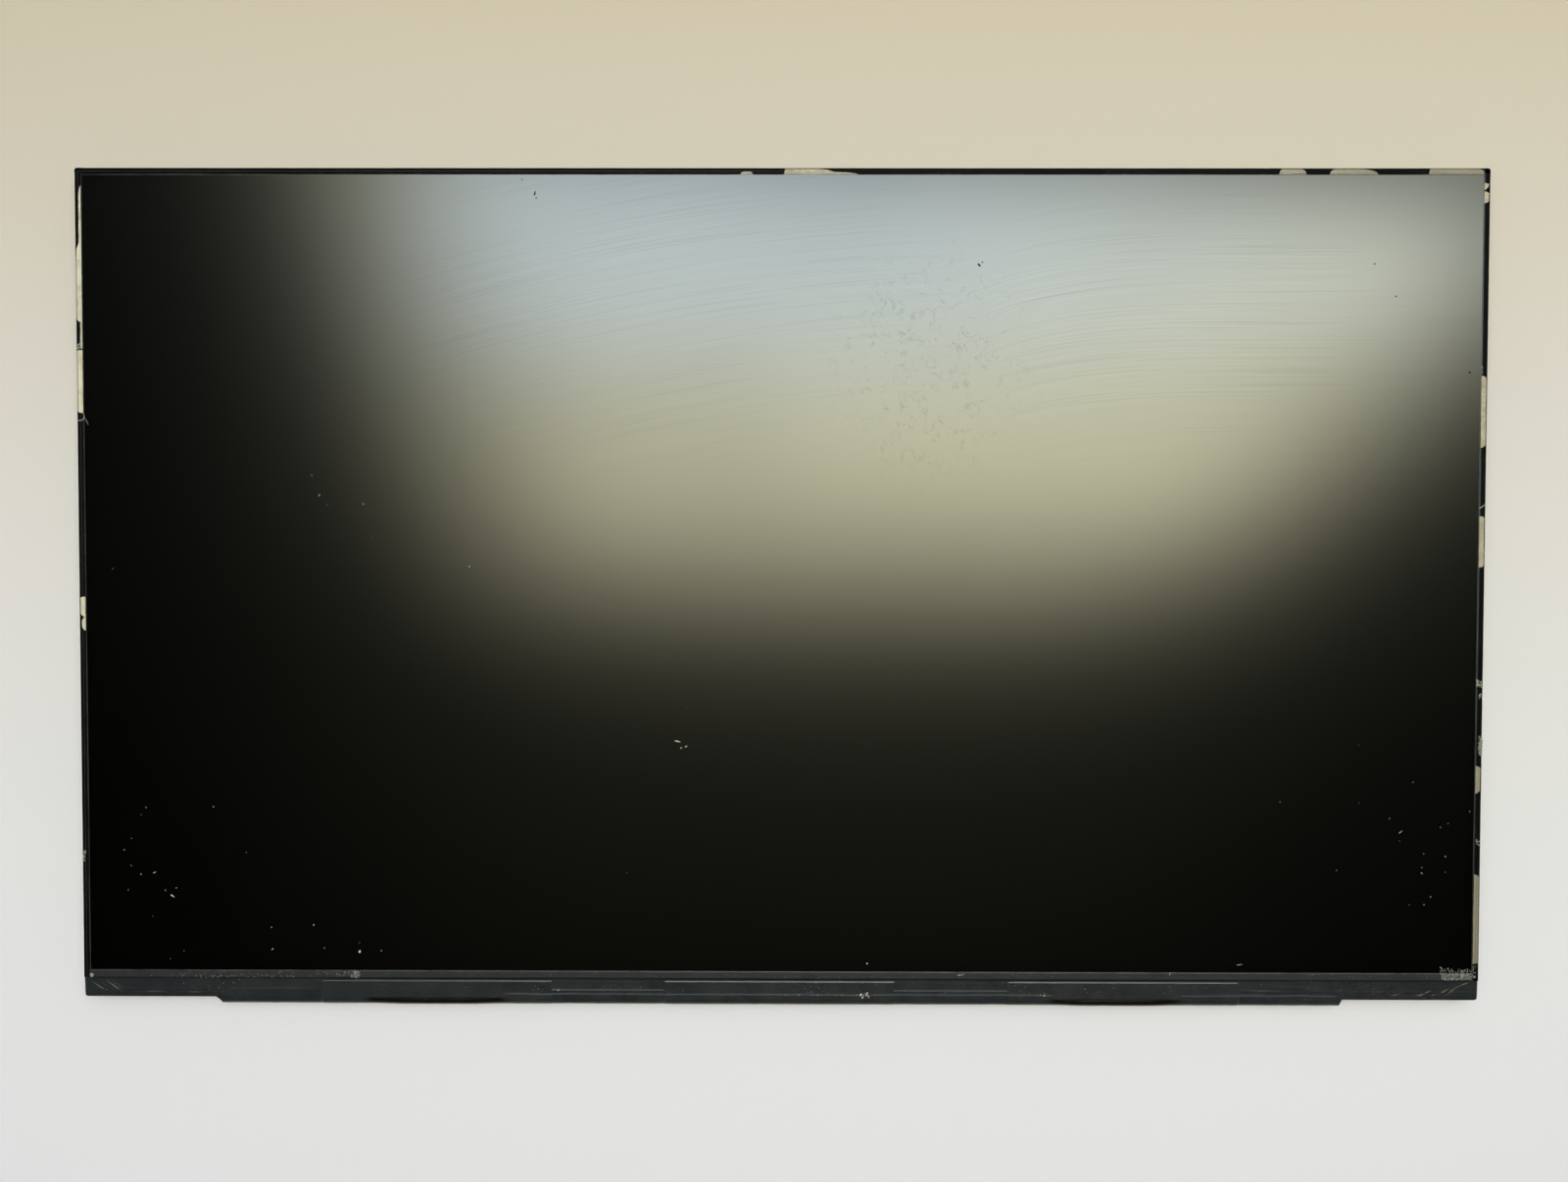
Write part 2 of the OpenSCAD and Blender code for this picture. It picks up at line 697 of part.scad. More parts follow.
// Two parts stand at each place of a small part: one in each row
module small_parts(places) {
    for (x = places, y = small_part_rows)
        board_part(x, y, small_part_l, small_part_w, small_part_h);
}

module small_capacitors() {
    color([0.65, 0.52, 0.38]) small_parts(small_capacitor_x);
}

module resistors() {
    color([0.1, 0.1, 0.11]) small_parts(resistor_x);
}

module diodes() {
    color([0.12, 0.12, 0.12]) for (x = diode_x)
        board_part(x, chip_row, diode_w, diode_l, small_part_h);
}

module fuse() {
    color([0.85, 0.84, 0.78])
        board_part(fuse_x, chip_row, fuse_l, large_capacitor_w, small_part_h);
}

// Black housing with the slot that the plug's tongue enters
module connector_housing() {
    half = connector_l / 2 - shell_t;
    mouth_half = contact_row_len / 2 + mouth_end;
    color([0.12, 0.12, 0.12]) difference() {
        block([connector_x - half, connector_front, shell_t],
              [connector_x + half, connector_back, z_board_rear]);
        block([connector_x - mouth_half, connector_front - cut, z_mouth - mouth_h],
              [connector_x + mouth_half, connector_front + mouth_d, z_mouth]);
        contact_row() block([-contact_w / 2, connector_front - cut, z_mouth],
                            [contact_w / 2, connector_back + cut, z_mouth + contact_t]);
    }
}

// Folded metal shell over the housing, with an ear soldered down at each end
module connector_shell() {
    half = connector_l / 2;
    ear_y = (connector_front + connector_back - ear_w) / 2;
    color([0.75, 0.75, 0.73]) translate([connector_x, 0, 0]) {
        block([-half, connector_front, 0], [half, connector_back, shell_t]);
        for (side = [-half, half - shell_t])
            block([side, connector_front, 0], [side + shell_t, connector_back, z_board_rear]);
        for (ear = [-half - ear_l, half - shell_t])
            block([ear, ear_y, z_board_rear - shell_t],
                  [ear + ear_l + shell_t, ear_y + ear_w, z_board_rear]);
    }
}

module contact_row() {
    for (i = [0 : contact_count - 1])
        translate([connector_x + i * contact_pitch - contact_row_len / 2, 0, 0]) children();
}

// Gilt contacts on the mouth's floor, each with a soldered end behind the housing
module connector_contacts() {
    color([0.85, 0.7, 0.35]) contact_row() {
        block([-contact_w / 2, connector_front + shell_t, z_mouth],
              [contact_w / 2, connector_back + contact_t, z_mouth + contact_t]);
        block([-contact_w / 2, connector_back, z_mouth],
              [contact_w / 2, connector_back + contact_t, z_board_rear]);
        block([-contact_w / 2, connector_back, z_board_rear - contact_t / 2],
              [contact_w / 2, connector_back + contact_tail, z_board_rear]);
    }
}

// Black insulating film, tented over the board's parts and closed at both ends
module board_cover_film() {
    t = cover_film_t;
    plate_side = board_top + tape_gap;
    plate_end = plate_side + cover_film_lap;
    tape_side = flap_end - cover_film_hold;
    tape_end = tape_side - cover_film_edge;
    color([0.06, 0.06, 0.06]) {
        run_x(cover_film_x[0], cover_film_x[1]) polygon([
            [plate_end, z_coined], [plate_side, z_coined], [plate_side, z_chip],
            [tape_side, z_chip], [tape_side, z_flap], [tape_end, z_flap],
            [tape_end, z_flap - t], [tape_side - t, z_flap - t], [tape_side - t, z_chip - t],
            [plate_side + t, z_chip - t], [plate_side + t, z_coined - t],
            [plate_end, z_coined - t]
        ]);
        for (x = [cover_film_x[0], cover_film_x[1] - t])
            block([x, tape_side - t, z_chip - t], [x + t, plate_side + t, z_flap]);
    }
}

// Copper foils that earth the board to the plate, one near each end
module ground_foils() {
    t = foil_t;
    low = board_top - foil_lap;
    high = board_top + tape_gap + foil_lap;
    color([0.75, 0.45, 0.28]) for (x = [-foil_x, foil_x]) run_x(x - foil_l / 2, x + foil_l / 2)
        polygon([
            [low, z_board_rear], [board_top + tape_gap, z_board_rear],
            [board_top + tape_gap, z_coined], [high, z_coined], [high, z_coined - t],
            [board_top + tape_gap + t, z_coined - t], [board_top + tape_gap + t, z_board_rear - t],
            [low, z_board_rear - t]
        ]);
}

// Drop of silver paint on a corner of the filter glass
module silver_dot() {
    color([0.78, 0.78, 0.76]) translate([dot_x, dot_y, z_filter_top]) cylinder(dot_h, dot_r, dot_r);
}

// Room for the silver dot in the tapes round it
module dot_hole() {
    translate([dot_x, dot_y, z_filter]) cylinder(z_front - z_filter + cut, dot_r + tape_gap,
                                                 dot_r + tape_gap);
}

// Front of the bottom tape where it runs over a driver film, as [y, z]
module tape_over_film() {
    t = tape_t;
    polygon([
        [strip_edge, z_filter_top], [filter_bottom, z_filter_top], [filter_bottom, z_filter],
        [film_end, z_filter], [film_end, z_on_film], [fold_mid, z_on_film],
        [fold_mid, z_on_film + t], [film_end + t, z_on_film + t], [film_end + t, z_filter + t],
        [filter_bottom - t, z_filter + t], [filter_bottom - t, z_filter_top + t],
        [strip_edge, z_filter_top + t]
    ]);
}

// Front of the bottom tape between two films: it drops off the glass ledge onto the wall
module tape_between(y_end) {
    t = tape_t;
    polygon([
        [strip_edge, z_filter_top], [filter_bottom, z_filter_top], [filter_bottom, z_filter],
        [tft_bottom, z_filter], [tft_bottom, z_bottom_wall], [y_end, z_bottom_wall],
        [y_end, z_bottom_wall + t], [tft_bottom - t, z_bottom_wall + t],
        [tft_bottom - t, z_filter + t], [filter_bottom - t, z_filter + t],
        [filter_bottom - t, z_filter_top + t], [strip_edge, z_filter_top + t]
    ]);
}

// All that the low fold of the tape holds inside it, as [y, z]
module inside_low_fold() {
    half_disc(low_fold_r - tape_t, low_fold_mid, z_flap + low_fold_r);
    polygon([
        [low_fold_mid, z_flap + tape_t], [film_end + cut, z_flap + tape_t],
        [film_end + cut, z_filter], [tft_bottom, z_filter], [tft_bottom, z_bottom_wall],
        [low_fold_mid, z_bottom_wall]
    ]);
}

// Small wall of tape at each end of a film, from the high fold down to the low one
module film_riser() {
    difference() {
        union() {
            half_disc(fold_r, fold_mid, z_flap + fold_r);
            translate([fold_mid, z_flap])
                square([film_end + tape_t - fold_mid, z_on_film + tape_t - z_flap]);
        }
        inside_low_fold();
    }
}

// Wall of tape that closes an end of the bulge, outside the frame and the plate
module bulge_end() {
    difference() {
        union() {
            half_disc(low_fold_r, low_fold_mid, z_flap + low_fold_r);
            translate([low_fold_mid, z_flap]) square([flap_end - low_fold_mid, 2 * low_fold_r]);
        }
        translate([frame_bottom, z_coined]) square([flap_end - frame_bottom + cut, 2 * low_fold_r]);
    }
}

// The bottom tape's folded stretch over a film or between two films
module tape_fold(x0, x1, over_film) {
    r = over_film ? fold_r : low_fold_r;
    run_x(x0, x1) {
        if (over_film) tape_over_film();
        else tape_between(low_fold_mid);
        fold_section(r, tape_t, fold_y + r, z_flap + r);
        translate([fold_y + r, z_flap]) square([flap_end - fold_y - r, tape_t]);
    }
}

// Black tape over the bottom edge: from the polariser round the films to the board
module bottom_tape() {
    edges = concat([-bulge_x], [for (x = film_x, s = [-1, 1]) x + s * film_span], [bulge_x]);
    color([0.16, 0.17, 0.18]) difference() {
        union() {
            for (i = [0 : len(edges) - 2]) tape_fold(edges[i], edges[i + 1], i % 2 == 1);
            for (x = film_x, s = [-1, 1]) {
                end = x + s * (film_span - tape_t / 2);
                run_x(end - tape_t / 2, end + tape_t / 2) film_riser();
            }
            for (x = [-bulge_x, bulge_x - tape_t]) run_x(x, x + tape_t) bulge_end();
            for (s = [-1, 1]) on_side(s) bottom_tape_end();
        }
        dot_hole();
    }
}

// The same shape on the other side of the panel
module on_side(side) {
    if (side > 0) children();
    else mirror([1, 0, 0]) children();
}

// The bottom tape past the bulge: round the frame's edge onto the plate, and round the corner
module bottom_tape_end() {
    t = tape_t;
    run_x(bulge_x, tape_x) tape_between(frame_bottom);
    run_x(tape_x, out_x) difference() {
        tape_between(frame_bottom);
        translate([filter_bottom, z_coined]) square([strip_edge - filter_bottom + cut, z_front]);
        translate([filter_bottom - t, z_filter + t]) square([t, z_front]);
    }
    block([bulge_x, out_bottom, z_coined - t], [out_x, frame_bottom, z_bottom_wall + t]);
    block([bulge_x, frame_bottom, z_coined - t],
          [frame_x, frame_bottom + rear_flap, z_coined]);
    block([frame_x, frame_bottom, z_coined - t], [out_x, filter_bottom, z_bottom_wall + t]);
    block([frame_x, tft_bottom - t, z_coined], [out_x, filter_bottom, z_filter + t]);
}

// Section of an edge tape round the frame, drawn from the glass border outwards
module edge_section(inner, wall, edge) {
    t = tape_t;
    polygon([
        [inner, z_filter_top], [wall, z_filter_top], [wall, z_wall], [edge, z_wall],
        [edge, z_coined], [edge - rear_flap, z_coined], [edge - rear_flap, z_coined - t],
        [edge + t, z_coined - t], [edge + t, z_front], [wall - t, z_front],
        [wall - t, z_filter_top + t], [inner, z_filter_top + t]
    ]);
}

// Outline of a tear, from the polariser out past the panel's edge
module tear(inner, span) {
    translate([0, 0, z_front - tear_depth]) linear_extrude(tear_depth + cut) polygon([
        [inner - tape_gap, span[0] + tear_slant], [out_x + cut, span[0]],
        [out_x + cut, span[1]], [inner - tape_gap, span[1] - tear_slant]
    ]);
}

// A side tape, drawn on the right: at the top it climbs from the glass onto the corner
module side_tape(tears) {
    difference() {
        union() {
            difference() {
                run_y(filter_bottom, frame_top) edge_section(tape_x, wall_x, frame_x);
                block([tape_x - cut, wall_top, z_filter_top - cut],
                      [wall_x, frame_top + cut, z_wall]);
            }
            block([tape_x, wall_top, z_wall], [wall_x, frame_top, z_front]);
            block([tape_x, wall_top - tape_t, z_filter_top], [wall_x, wall_top, z_front]);
        }
        block([frame_x - rear_flap - cut, frame_top - rear_flap, z_coined - cut],
              [frame_x, frame_top + cut, z_coined]);
        for (span = tears) tear(tape_x, span);
    }
}

module left_tape() {
    color([0.07, 0.07, 0.07]) difference() {
        mirror([1, 0, 0]) side_tape(left_tears);
        dot_hole();
    }
}

module right_tape() {
    color([0.07, 0.07, 0.07]) side_tape(right_tears);
}

module top_tape() {
    color([0.07, 0.07, 0.07]) difference() {
        union() {
            run_x(-tape_x, tape_x) edge_section(tape_top, wall_top, frame_top);
            block([-out_x, frame_top, z_coined - tape_t], [out_x, out_top, z_front]);
        }
        rotate(90) for (span = top_tears) tear(tape_top, [-span[1], -span[0]]);
    }
}

front_polarizer();
filter_glass();
tft_glass();
rear_polarizer();
mold_frame();
rim_tape();
upper_diffuser();
upper_prism_sheet();
lower_prism_sheet();
lower_diffuser();
light_guide();
reflector();
back_plate();
plate_tape();
led_flex();
led_packages();
led_windows();
led_flex_tape();
driver_film_left();
driver_film_middle();
driver_film_right();
driver_chip_left();
driver_chip_middle();
driver_chip_right();
driver_board();
board_adhesive();
timing_chip();
power_chip();
backlight_chip();
memory_chip();
buffer_chip();
inductors();
large_capacitors();
small_capacitors();
resistors();
diodes();
fuse();
connector_housing();
connector_shell();
connector_contacts();
board_cover_film();
ground_foils();
silver_dot();
bottom_tape();
left_tape();
right_tape();
top_tape();
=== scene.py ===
"""A bare 14 inch laptop screen panel, lying on its back: looks, wear and dirt round the fixed CAD frame."""

import math
import random

import bmesh
import bpy
from mathutils import Euler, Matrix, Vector, noise
from mathutils.bvhtree import BVHTree


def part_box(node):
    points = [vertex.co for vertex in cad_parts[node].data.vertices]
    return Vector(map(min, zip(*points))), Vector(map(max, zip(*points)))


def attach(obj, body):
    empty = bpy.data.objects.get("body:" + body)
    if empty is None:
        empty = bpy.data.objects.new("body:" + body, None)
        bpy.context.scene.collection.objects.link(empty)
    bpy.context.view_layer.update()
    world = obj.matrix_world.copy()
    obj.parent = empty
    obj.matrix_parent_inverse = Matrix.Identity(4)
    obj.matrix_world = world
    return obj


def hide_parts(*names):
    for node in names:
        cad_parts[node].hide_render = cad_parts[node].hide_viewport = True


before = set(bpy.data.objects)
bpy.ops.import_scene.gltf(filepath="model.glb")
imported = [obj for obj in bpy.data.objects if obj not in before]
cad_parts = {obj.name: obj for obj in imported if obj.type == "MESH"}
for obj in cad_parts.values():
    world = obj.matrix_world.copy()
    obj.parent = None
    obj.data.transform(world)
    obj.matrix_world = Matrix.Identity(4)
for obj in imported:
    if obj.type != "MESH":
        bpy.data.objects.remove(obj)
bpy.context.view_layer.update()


# Back plate: a sheet of aluminium 0.3 mm thick with its four edges folded up round the frame.
# It is rolled metal, so fine lines run along it, with soft cloudy patches and a few rubbed marks.
# A raised flat pad in its middle takes the adhesive strips that hold the panel in a lid.
MM = 0.001


def place(tree, kind, inputs=(), **settings):
    """Adds a shader node. An input is a plain value or another node's output."""
    made = tree.nodes.new("ShaderNode" + kind)
    for key, value in settings.items():
        setattr(made, key, value)
    for key, value in dict(inputs).items():
        if isinstance(value, bpy.types.NodeSocket):
            tree.links.new(value, made.inputs[key])
        else:
            made.inputs[key].default_value = value
    return made


def position(tree):
    """Where a point of the surface lies, in metres, and its x, y and z."""
    where = place(tree, "TexCoord").outputs["Object"]
    return where, *place(tree, "SeparateXYZ", {0: where}).outputs


def math_node(operation, a, b=0.0, clamp=False):
    """One step of arithmetic, in the node tree of whichever value isn't a plain number."""
    tree = (a if isinstance(a, bpy.types.NodeSocket) else b).id_data
    return place(tree, "Math", {0: a, 1: b}, operation=operation, use_clamp=clamp).outputs[0]


def plus(a, b, clamp=False):
    """The sum of two values, kept from 0 to 1 if it is clamped."""
    return math_node("ADD", a, b, clamp)


def minus(a, b, clamp=False):
    """What is left of a when b is taken off it."""
    return math_node("SUBTRACT", a, b, clamp)


def size_of(value):
    """A value without its sign."""
    return math_node("ABSOLUTE", value)


def times(*values):
    """The product of two or more values."""
    made = values[0]
    for value in values[1:]:
        made = math_node("MULTIPLY", made, value)
    return made


def highest(*values):
    """The largest of two or more values."""
    made = values[0]
    for value in values[1:]:
        made = math_node("MAXIMUM", made, value)
    return made


def between(value, low, high):
    """0 below low, 1 above high, and a soft step in between. It also runs downwards."""
    inputs = {"Value": value, "From Min": low, "From Max": high, "To Min": 0.0, "To Max": 1.0}
    return place(value.id_data, "MapRange", inputs, interpolation_type="SMOOTHSTEP").outputs["Result"]


def stripe(value, centre, half, soft):
    """1 where the value is within half of the centre, falling to 0 over the soft width outside it."""
    return between(size_of(minus(value, centre)), half + soft, half)


def spread(value, low, high, start=0.0, end=1.0):
    """Turns the range from start to end into the one from low to high, in a straight line."""
    inputs = {"Value": value, "From Min": start, "From Max": end, "To Min": low, "To Max": high}
    return place(value.id_data, "MapRange", inputs).outputs["Result"]


def blend(share, a, b):
    """Colour a where share is 0 and colour b where it is 1."""
    a, b = (color if isinstance(color, bpy.types.NodeSocket) else (*color, 1) for color in (a, b))
    return place(share.id_data, "Mix", {0: share, 6: a, 7: b}, data_type="RGBA").outputs[2]


def noise_node(where, scale, detail=2.0, **more):
    """Soft noise from 0 to 1, with that many blobs to a metre."""
    inputs = {"Vector": where, "Scale": scale, "Detail": detail, **more}
    return place(where.id_data, "TexNoise", inputs).outputs[0]


def effect(name, **inputs):
    """A shader node group with these inputs and one output, Value, and the sockets at its two ends."""
    tree = bpy.data.node_groups.new(name, "ShaderNodeTree")
    for key, value in inputs.items():
        kind = "NodeSocketVector" if isinstance(value, tuple) else "NodeSocketFloat"
        tree.interface.new_socket(key, in_out="INPUT", socket_type=kind).default_value = value
    tree.interface.new_socket("Value", in_out="OUTPUT", socket_type="NodeSocketFloat")
    return tree, tree.nodes.new("NodeGroupInput").outputs, tree.nodes.new("NodeGroupOutput").inputs


# Grain runs from 0 to 1: fine noise at Size metres, drawn out by Stretch, with cloudy patches
grain, told, given = effect("grain", Size=0.001, Stretch=(1.0, 1.0, 1.0), Clouds=0.3)
where = place(grain, "TexCoord").outputs["Object"]
stretched = place(grain, "VectorMath", {0: where, 1: told["Stretch"]}, operation="DIVIDE").outputs[0]
per_metre = math_node("DIVIDE", 1.0, told["Size"])
fine = noise_node(stretched, per_metre, 4.0)
broad = noise_node(where, times(per_metre, 0.06), 3.0)
mixed = place(grain, "Mix", {0: told["Clouds"], 2: fine, 3: broad}).outputs[0]
grain.links.new(between(mixed, 0.3, 0.7), given["Value"])


def grain_node(tree, size, stretch=(1.0, 1.0, 1.0), clouds=0.3):
    """The grain at a size in millimetres."""
    inputs = {"Size": size * MM, "Stretch": stretch, "Clouds": clouds}
    return place(tree, "Group", inputs, node_tree=grain).outputs[0]


# Marks are 0 with lines of 1: thin scratches and rub lines along a direction, broken up in patches
marks, told, given = effect("marks", Size=0.001, Stretch=(1.0, 30.0, 1.0), Turn=(0.0, 0.0, 0.0), Amount=0.5)
where = place(marks, "TexCoord").outputs["Object"]
turned = place(marks, "VectorRotate", {"Vector": where, "Rotation": told["Turn"]},
               rotation_type="EULER_XYZ").outputs[0]
stretched = place(marks, "VectorMath", {0: turned, 1: told["Stretch"]}, operation="DIVIDE").outputs[0]
per_metre = math_node("DIVIDE", 1.0, told["Size"])
lines = noise_node(stretched, per_metre)
patches = noise_node(turned, times(per_metre, 0.07))
level = plus(minus(0.78, times(told["Amount"], 0.2)), times(minus(0.5, patches), 0.5))
marks.links.new(between(minus(lines, level), 0.0, 0.05), given["Value"])


def finish(name, color, roughness, metallic=0.0, **plain):
    """A new material, its node tree and its Principled shader's inputs, set where they don't vary."""
    material = bpy.data.materials.new(name)
    material.use_nodes = True
    shader = material.node_tree.nodes["Principled BSDF"]
    shader.inputs["Base Color"].default_value = (*color, 1)
    shader.inputs["Roughness"].default_value = roughness
    shader.inputs["Metallic"].default_value = metallic
    for key, value in plain.items():
        shader.inputs[key.replace("_", " ")].default_value = value
    return material, material.node_tree, shader.inputs


def marks_node(tree, size, stretch, turn, amount):
    """The marks at a size in millimetres, turned round z by an angle in radians."""
    inputs = {"Size": size * MM, "Stretch": stretch, "Turn": (0.0, 0.0, turn), "Amount": amount}
    return place(tree, "Group", inputs, node_tree=marks).outputs[0]


def feed(shader, **values):
    """Links values that change over the surface to a shader's inputs."""
    for key, value in values.items():
        value.id_data.links.new(value, shader[key.replace("_", " ")])


def bump(shader, height, depth):
    """Feeds a height from 0 to 1, that many millimetres deep, to a shader's normal."""
    inputs = {"Height": height, "Distance": depth * MM, "Strength": 1.0}
    feed(shader, Normal=place(height.id_data, "Bump", inputs).outputs[0])


def grained(name, dark, light, roughness, size, stretch=(1, 1, 1), clouds=0.3, depth=0.0, **plain):
    """A finish whose colour runs from dark to light and whose roughness is a range, both with its grain."""
    material, tree, shader = finish(name, light, roughness[0], **plain)
    value = grain_node(tree, size, stretch, clouds)
    feed(shader, Base_Color=blend(value, dark, light), Roughness=spread(value, *roughness))
    if depth:
        bump(shader, value, depth)
    return material


def dress(material, *names):
    """Gives CAD nodes their finish."""
    for name in names:
        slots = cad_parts[name].data.materials
        slots.clear()
        slots.append(material)


plate, tree, shader = finish("rolled_plate", (0.6, 0.61, 0.62), 0.34, metallic=1.0)
rolled = grain_node(tree, 0.05, (60.0, 1.0, 1.0), 0.25)
rubbed = marks_node(tree, 0.4, (1.0, 40.0, 1.0), 0.5, 0.45)
rough = plus(spread(rolled, 0.28, 0.42), times(rubbed, 0.15))
feed(shader, Base_Color=blend(rolled, (0.5, 0.51, 0.52), (0.66, 0.67, 0.68)), Roughness=rough)
bump(shader, rolled, 0.004)
dress(plate, "back_plate")


# Reflector and light strip: a white film, and a thin flexible strip with a row of light packages.
# The packages are white moulded cups with a yellow gel window. All of it lies inside the frame.
# Clear double-sided tape fixes the strip, and the same kind of tape fixes the board and the frame.
dress(grained("white_film", (0.88, 0.88, 0.87), (0.94, 0.94, 0.93), (0.5, 0.6), 0.4), "reflector")
dress(grained("white_solder_resist", (0.72, 0.71, 0.66), (0.84, 0.83, 0.79), (0.4, 0.55), 0.6), "led_flex")
dress(grained("white_case", (0.84, 0.84, 0.81), (0.93, 0.93, 0.9), (0.35, 0.45), 0.15), "led_packages")
dress(grained("yellow_gel", (0.82, 0.62, 0.05), (0.93, 0.78, 0.14), (0.2, 0.3), 0.1), "led_windows")
dress(grained("clear_adhesive", (0.72, 0.71, 0.66), (0.86, 0.86, 0.83), (0.3, 0.6), 0.5, depth=0.01),
      "led_flex_tape", "board_adhesive", "plate_tape")


# Light guide and optical sheets: a clear moulded plate with printed dots, two milky diffusers and
# two prism sheets with fine grooves, stacked loose in the frame and held down by the rim tape.
guide, tree, shader = finish("light_guide", (0.8, 0.88, 0.92), 0.12, IOR=1.49)
where = place(tree, "TexCoord").outputs["Object"]
dots = place(tree, "TexVoronoi", {"Vector": where, "Scale": 900.0, "Randomness": 0.35}).outputs["Distance"]
dot_share = between(dots, 0.3, 0.22)
feed(shader, Base_Color=blend(dot_share, (0.72, 0.82, 0.86), (0.93, 0.95, 0.96)),
     Roughness=spread(dot_share, 0.1, 0.5))
dress(guide, "light_guide")
dress(grained("diffuser_film", (0.86, 0.86, 0.85), (0.93, 0.93, 0.92), (0.55, 0.7), 0.2),
      "lower_diffuser", "upper_diffuser")
for level, grooves in (("lower", (1, 200, 1)), ("upper", (200, 1, 1))):
    prisms = grained(level + "_prisms", (0.72, 0.75, 0.79), (0.88, 0.9, 0.92), (0.12, 0.22), 0.05, grooves,
                     0.1, 0.01)
    dress(prisms, level + "_prism_sheet")


# Frame: moulded cream polycarbonate with a satin skin. Where the tapes are torn off, its top shows,
# with brown smears of old adhesive along the outer edge and grey handling dirt in the grain.
# The cell rests on its ledge, stuck down by a black tape that also blocks stray light.
OUT_X = 157.9  # half the panel's width, in millimetres
OUT_Y = 94.25  # half its height over the folded films


def edge_gaps(x, y):
    """How far in a place lies from the panel's side, and from its side or top, whichever is nearer."""
    side_gap = minus(OUT_X * MM, size_of(x))
    return side_gap, math_node("MINIMUM", side_gap, minus(OUT_Y * MM, y))


cream, tree, shader = finish("cream_moulding", (0.62, 0.54, 0.38), 0.5)
skin = grain_node(tree, 0.35, clouds=0.45)
dirt = grain_node(tree, 0.12, (2.0, 2.0, 1.0), 0.5)
where, x, y, z = position(tree)
side_gap, edge_gap = edge_gaps(x, y)
rim = between(edge_gap, 0.5 * MM, 0.08 * MM)
patchy = between(noise_node(where, 160.0, 5.0, Roughness=0.7), 0.45, 0.62)
smeared = math_node("MULTIPLY", patchy, plus(rim, 0.18), True)
clean = blend(skin, (0.34, 0.3, 0.23), (0.5, 0.45, 0.355))
darkened = blend(times(dirt, 0.3), clean, (0.3, 0.25, 0.2))
feed(shader, Base_Color=blend(smeared, darkened, (0.26, 0.16, 0.08)), Roughness=spread(smeared, 0.5, 0.3))
bump(shader, skin, 0.01)
dress(cream, "mold_frame")
dress(grained("rim_tape", (0.01, 0.01, 0.01), (0.03, 0.03, 0.03), (0.5, 0.7), 0.3), "rim_tape")


# Display cell: two sheets of glass 0.3 mm thick with ground edges, and a polariser on each outer face.
# A dark mask is printed on the front glass round the picture, so that its bare rim looks near black.
glass, tree, shader = finish("cell_glass", (0.012, 0.016, 0.016), 0.06, IOR=1.52)
ground = grain_node(tree, 0.08, (3.0, 3.0, 1.0), 0.2)
normal = place(tree, "SeparateXYZ", {0: place(tree, "NewGeometry").outputs["Normal"]}).outputs[2]
cut_edge = between(size_of(normal), 0.7, 0.3)
ground_share = times(cut_edge, ground)
feed(shader, Base_Color=blend(ground_share, (0.006, 0.008, 0.008), (0.16, 0.2, 0.19)),
     Roughness=spread(cut_edge, 0.06, 0.45))
dress(glass, "tft_glass", "filter_glass")
dress(grained("rear_polariser", (0.02, 0.02, 0.025), (0.04, 0.04, 0.045), (0.2, 0.3), 0.5),
      "rear_polarizer")


# Front polariser: a film with a matt hard coat, glued on the front glass. The coat spreads what it
# mirrors into a soft patch. It has been wiped dry: fine arcs run over the upper half, with a greasy
# swirl near the middle. Its picture area is a shade lighter than the mask round it.
PICTURE_X = 154.7 * MM
PICTURE_Y = (-83.8 * MM, 90.3 * MM)
PICTURE_SOFT = 0.1 * MM
STREAK_LENGTH = 110  # how many spacings long a wiped streak is

screen, tree, shader = finish("matt_screen", (0.001, 0.001, 0.001), 0.18, IOR=1.5, Coat_Roughness=0.18,
                              Coat_IOR=1.6)
where, x, y, z = position(tree)


def area(vector, centre, radius, soft):
    """1 inside an oval on the screen and 0 outside it, with a soft rim; all in metres."""
    tree = vector.id_data
    away = place(tree, "VectorMath", {0: vector, 1: (*centre, 0.0)}, operation="SUBTRACT").outputs[0]
    share = place(tree, "VectorMath", {0: away, 1: (*radius, 1.0)}, operation="DIVIDE").outputs[0]
    length = place(tree, "VectorMath", {0: share}, operation="LENGTH").outputs["Value"]
    return between(length, 1.0 + soft, 1.0 - soft)


def streaks(across, along, spacing, seed):
    """Fine dark lines with faint light ones between, across a stroke and broken up along it, -0.3 to 1."""
    across = math_node("DIVIDE", across, spacing)
    along = math_node("DIVIDE", along, spacing * STREAK_LENGTH)
    drawn = place(across.id_data, "CombineXYZ", {0: across, 1: along, 2: seed}).outputs[0]
    lines = times(minus(noise_node(drawn, 1.0), 0.53), 6.0)
    return times(highest(lines, times(lines, 0.3)), between(noise_node(drawn, 0.3), 0.34, 0.54))


# Left stroke: arcs round a far centre below. Right stroke: level lines that hook down at their left
away = place(tree, "VectorMath", {0: where, 1: (0.055, -0.4, 0.0)}, operation="SUBTRACT").outputs[0]
radius = place(tree, "VectorMath", {0: away}, operation="LENGTH").outputs["Value"]
left_wipe = times(streaks(radius, x, 0.42 * MM, 1.0), area(where, (-0.032, 0.066), (0.062, 0.034), 0.5))
hook = times(math_node("POWER", highest(minus(0.105, x), 0.0), 3.0), 32.0)
right_wipe = times(streaks(plus(y, hook), x, 0.4 * MM, 5.0), area(where, (0.092, 0.06), (0.056, 0.03), 0.5))
curls = noise_node(where, 290.0, Distortion=1.3)
thin = between(size_of(minus(curls, 0.5)), 0.028, 0.006)
broken = between(noise_node(where, 340.0), 0.45, 0.54)
swirl = times(thin, broken, area(where, (0.034, 0.05), (0.02, 0.024), 0.45), 1.8)
wiped = plus(plus(left_wipe, right_wipe), swirl)
haze = between(noise_node(where, 18.0, 3.0), 0.35, 0.75)
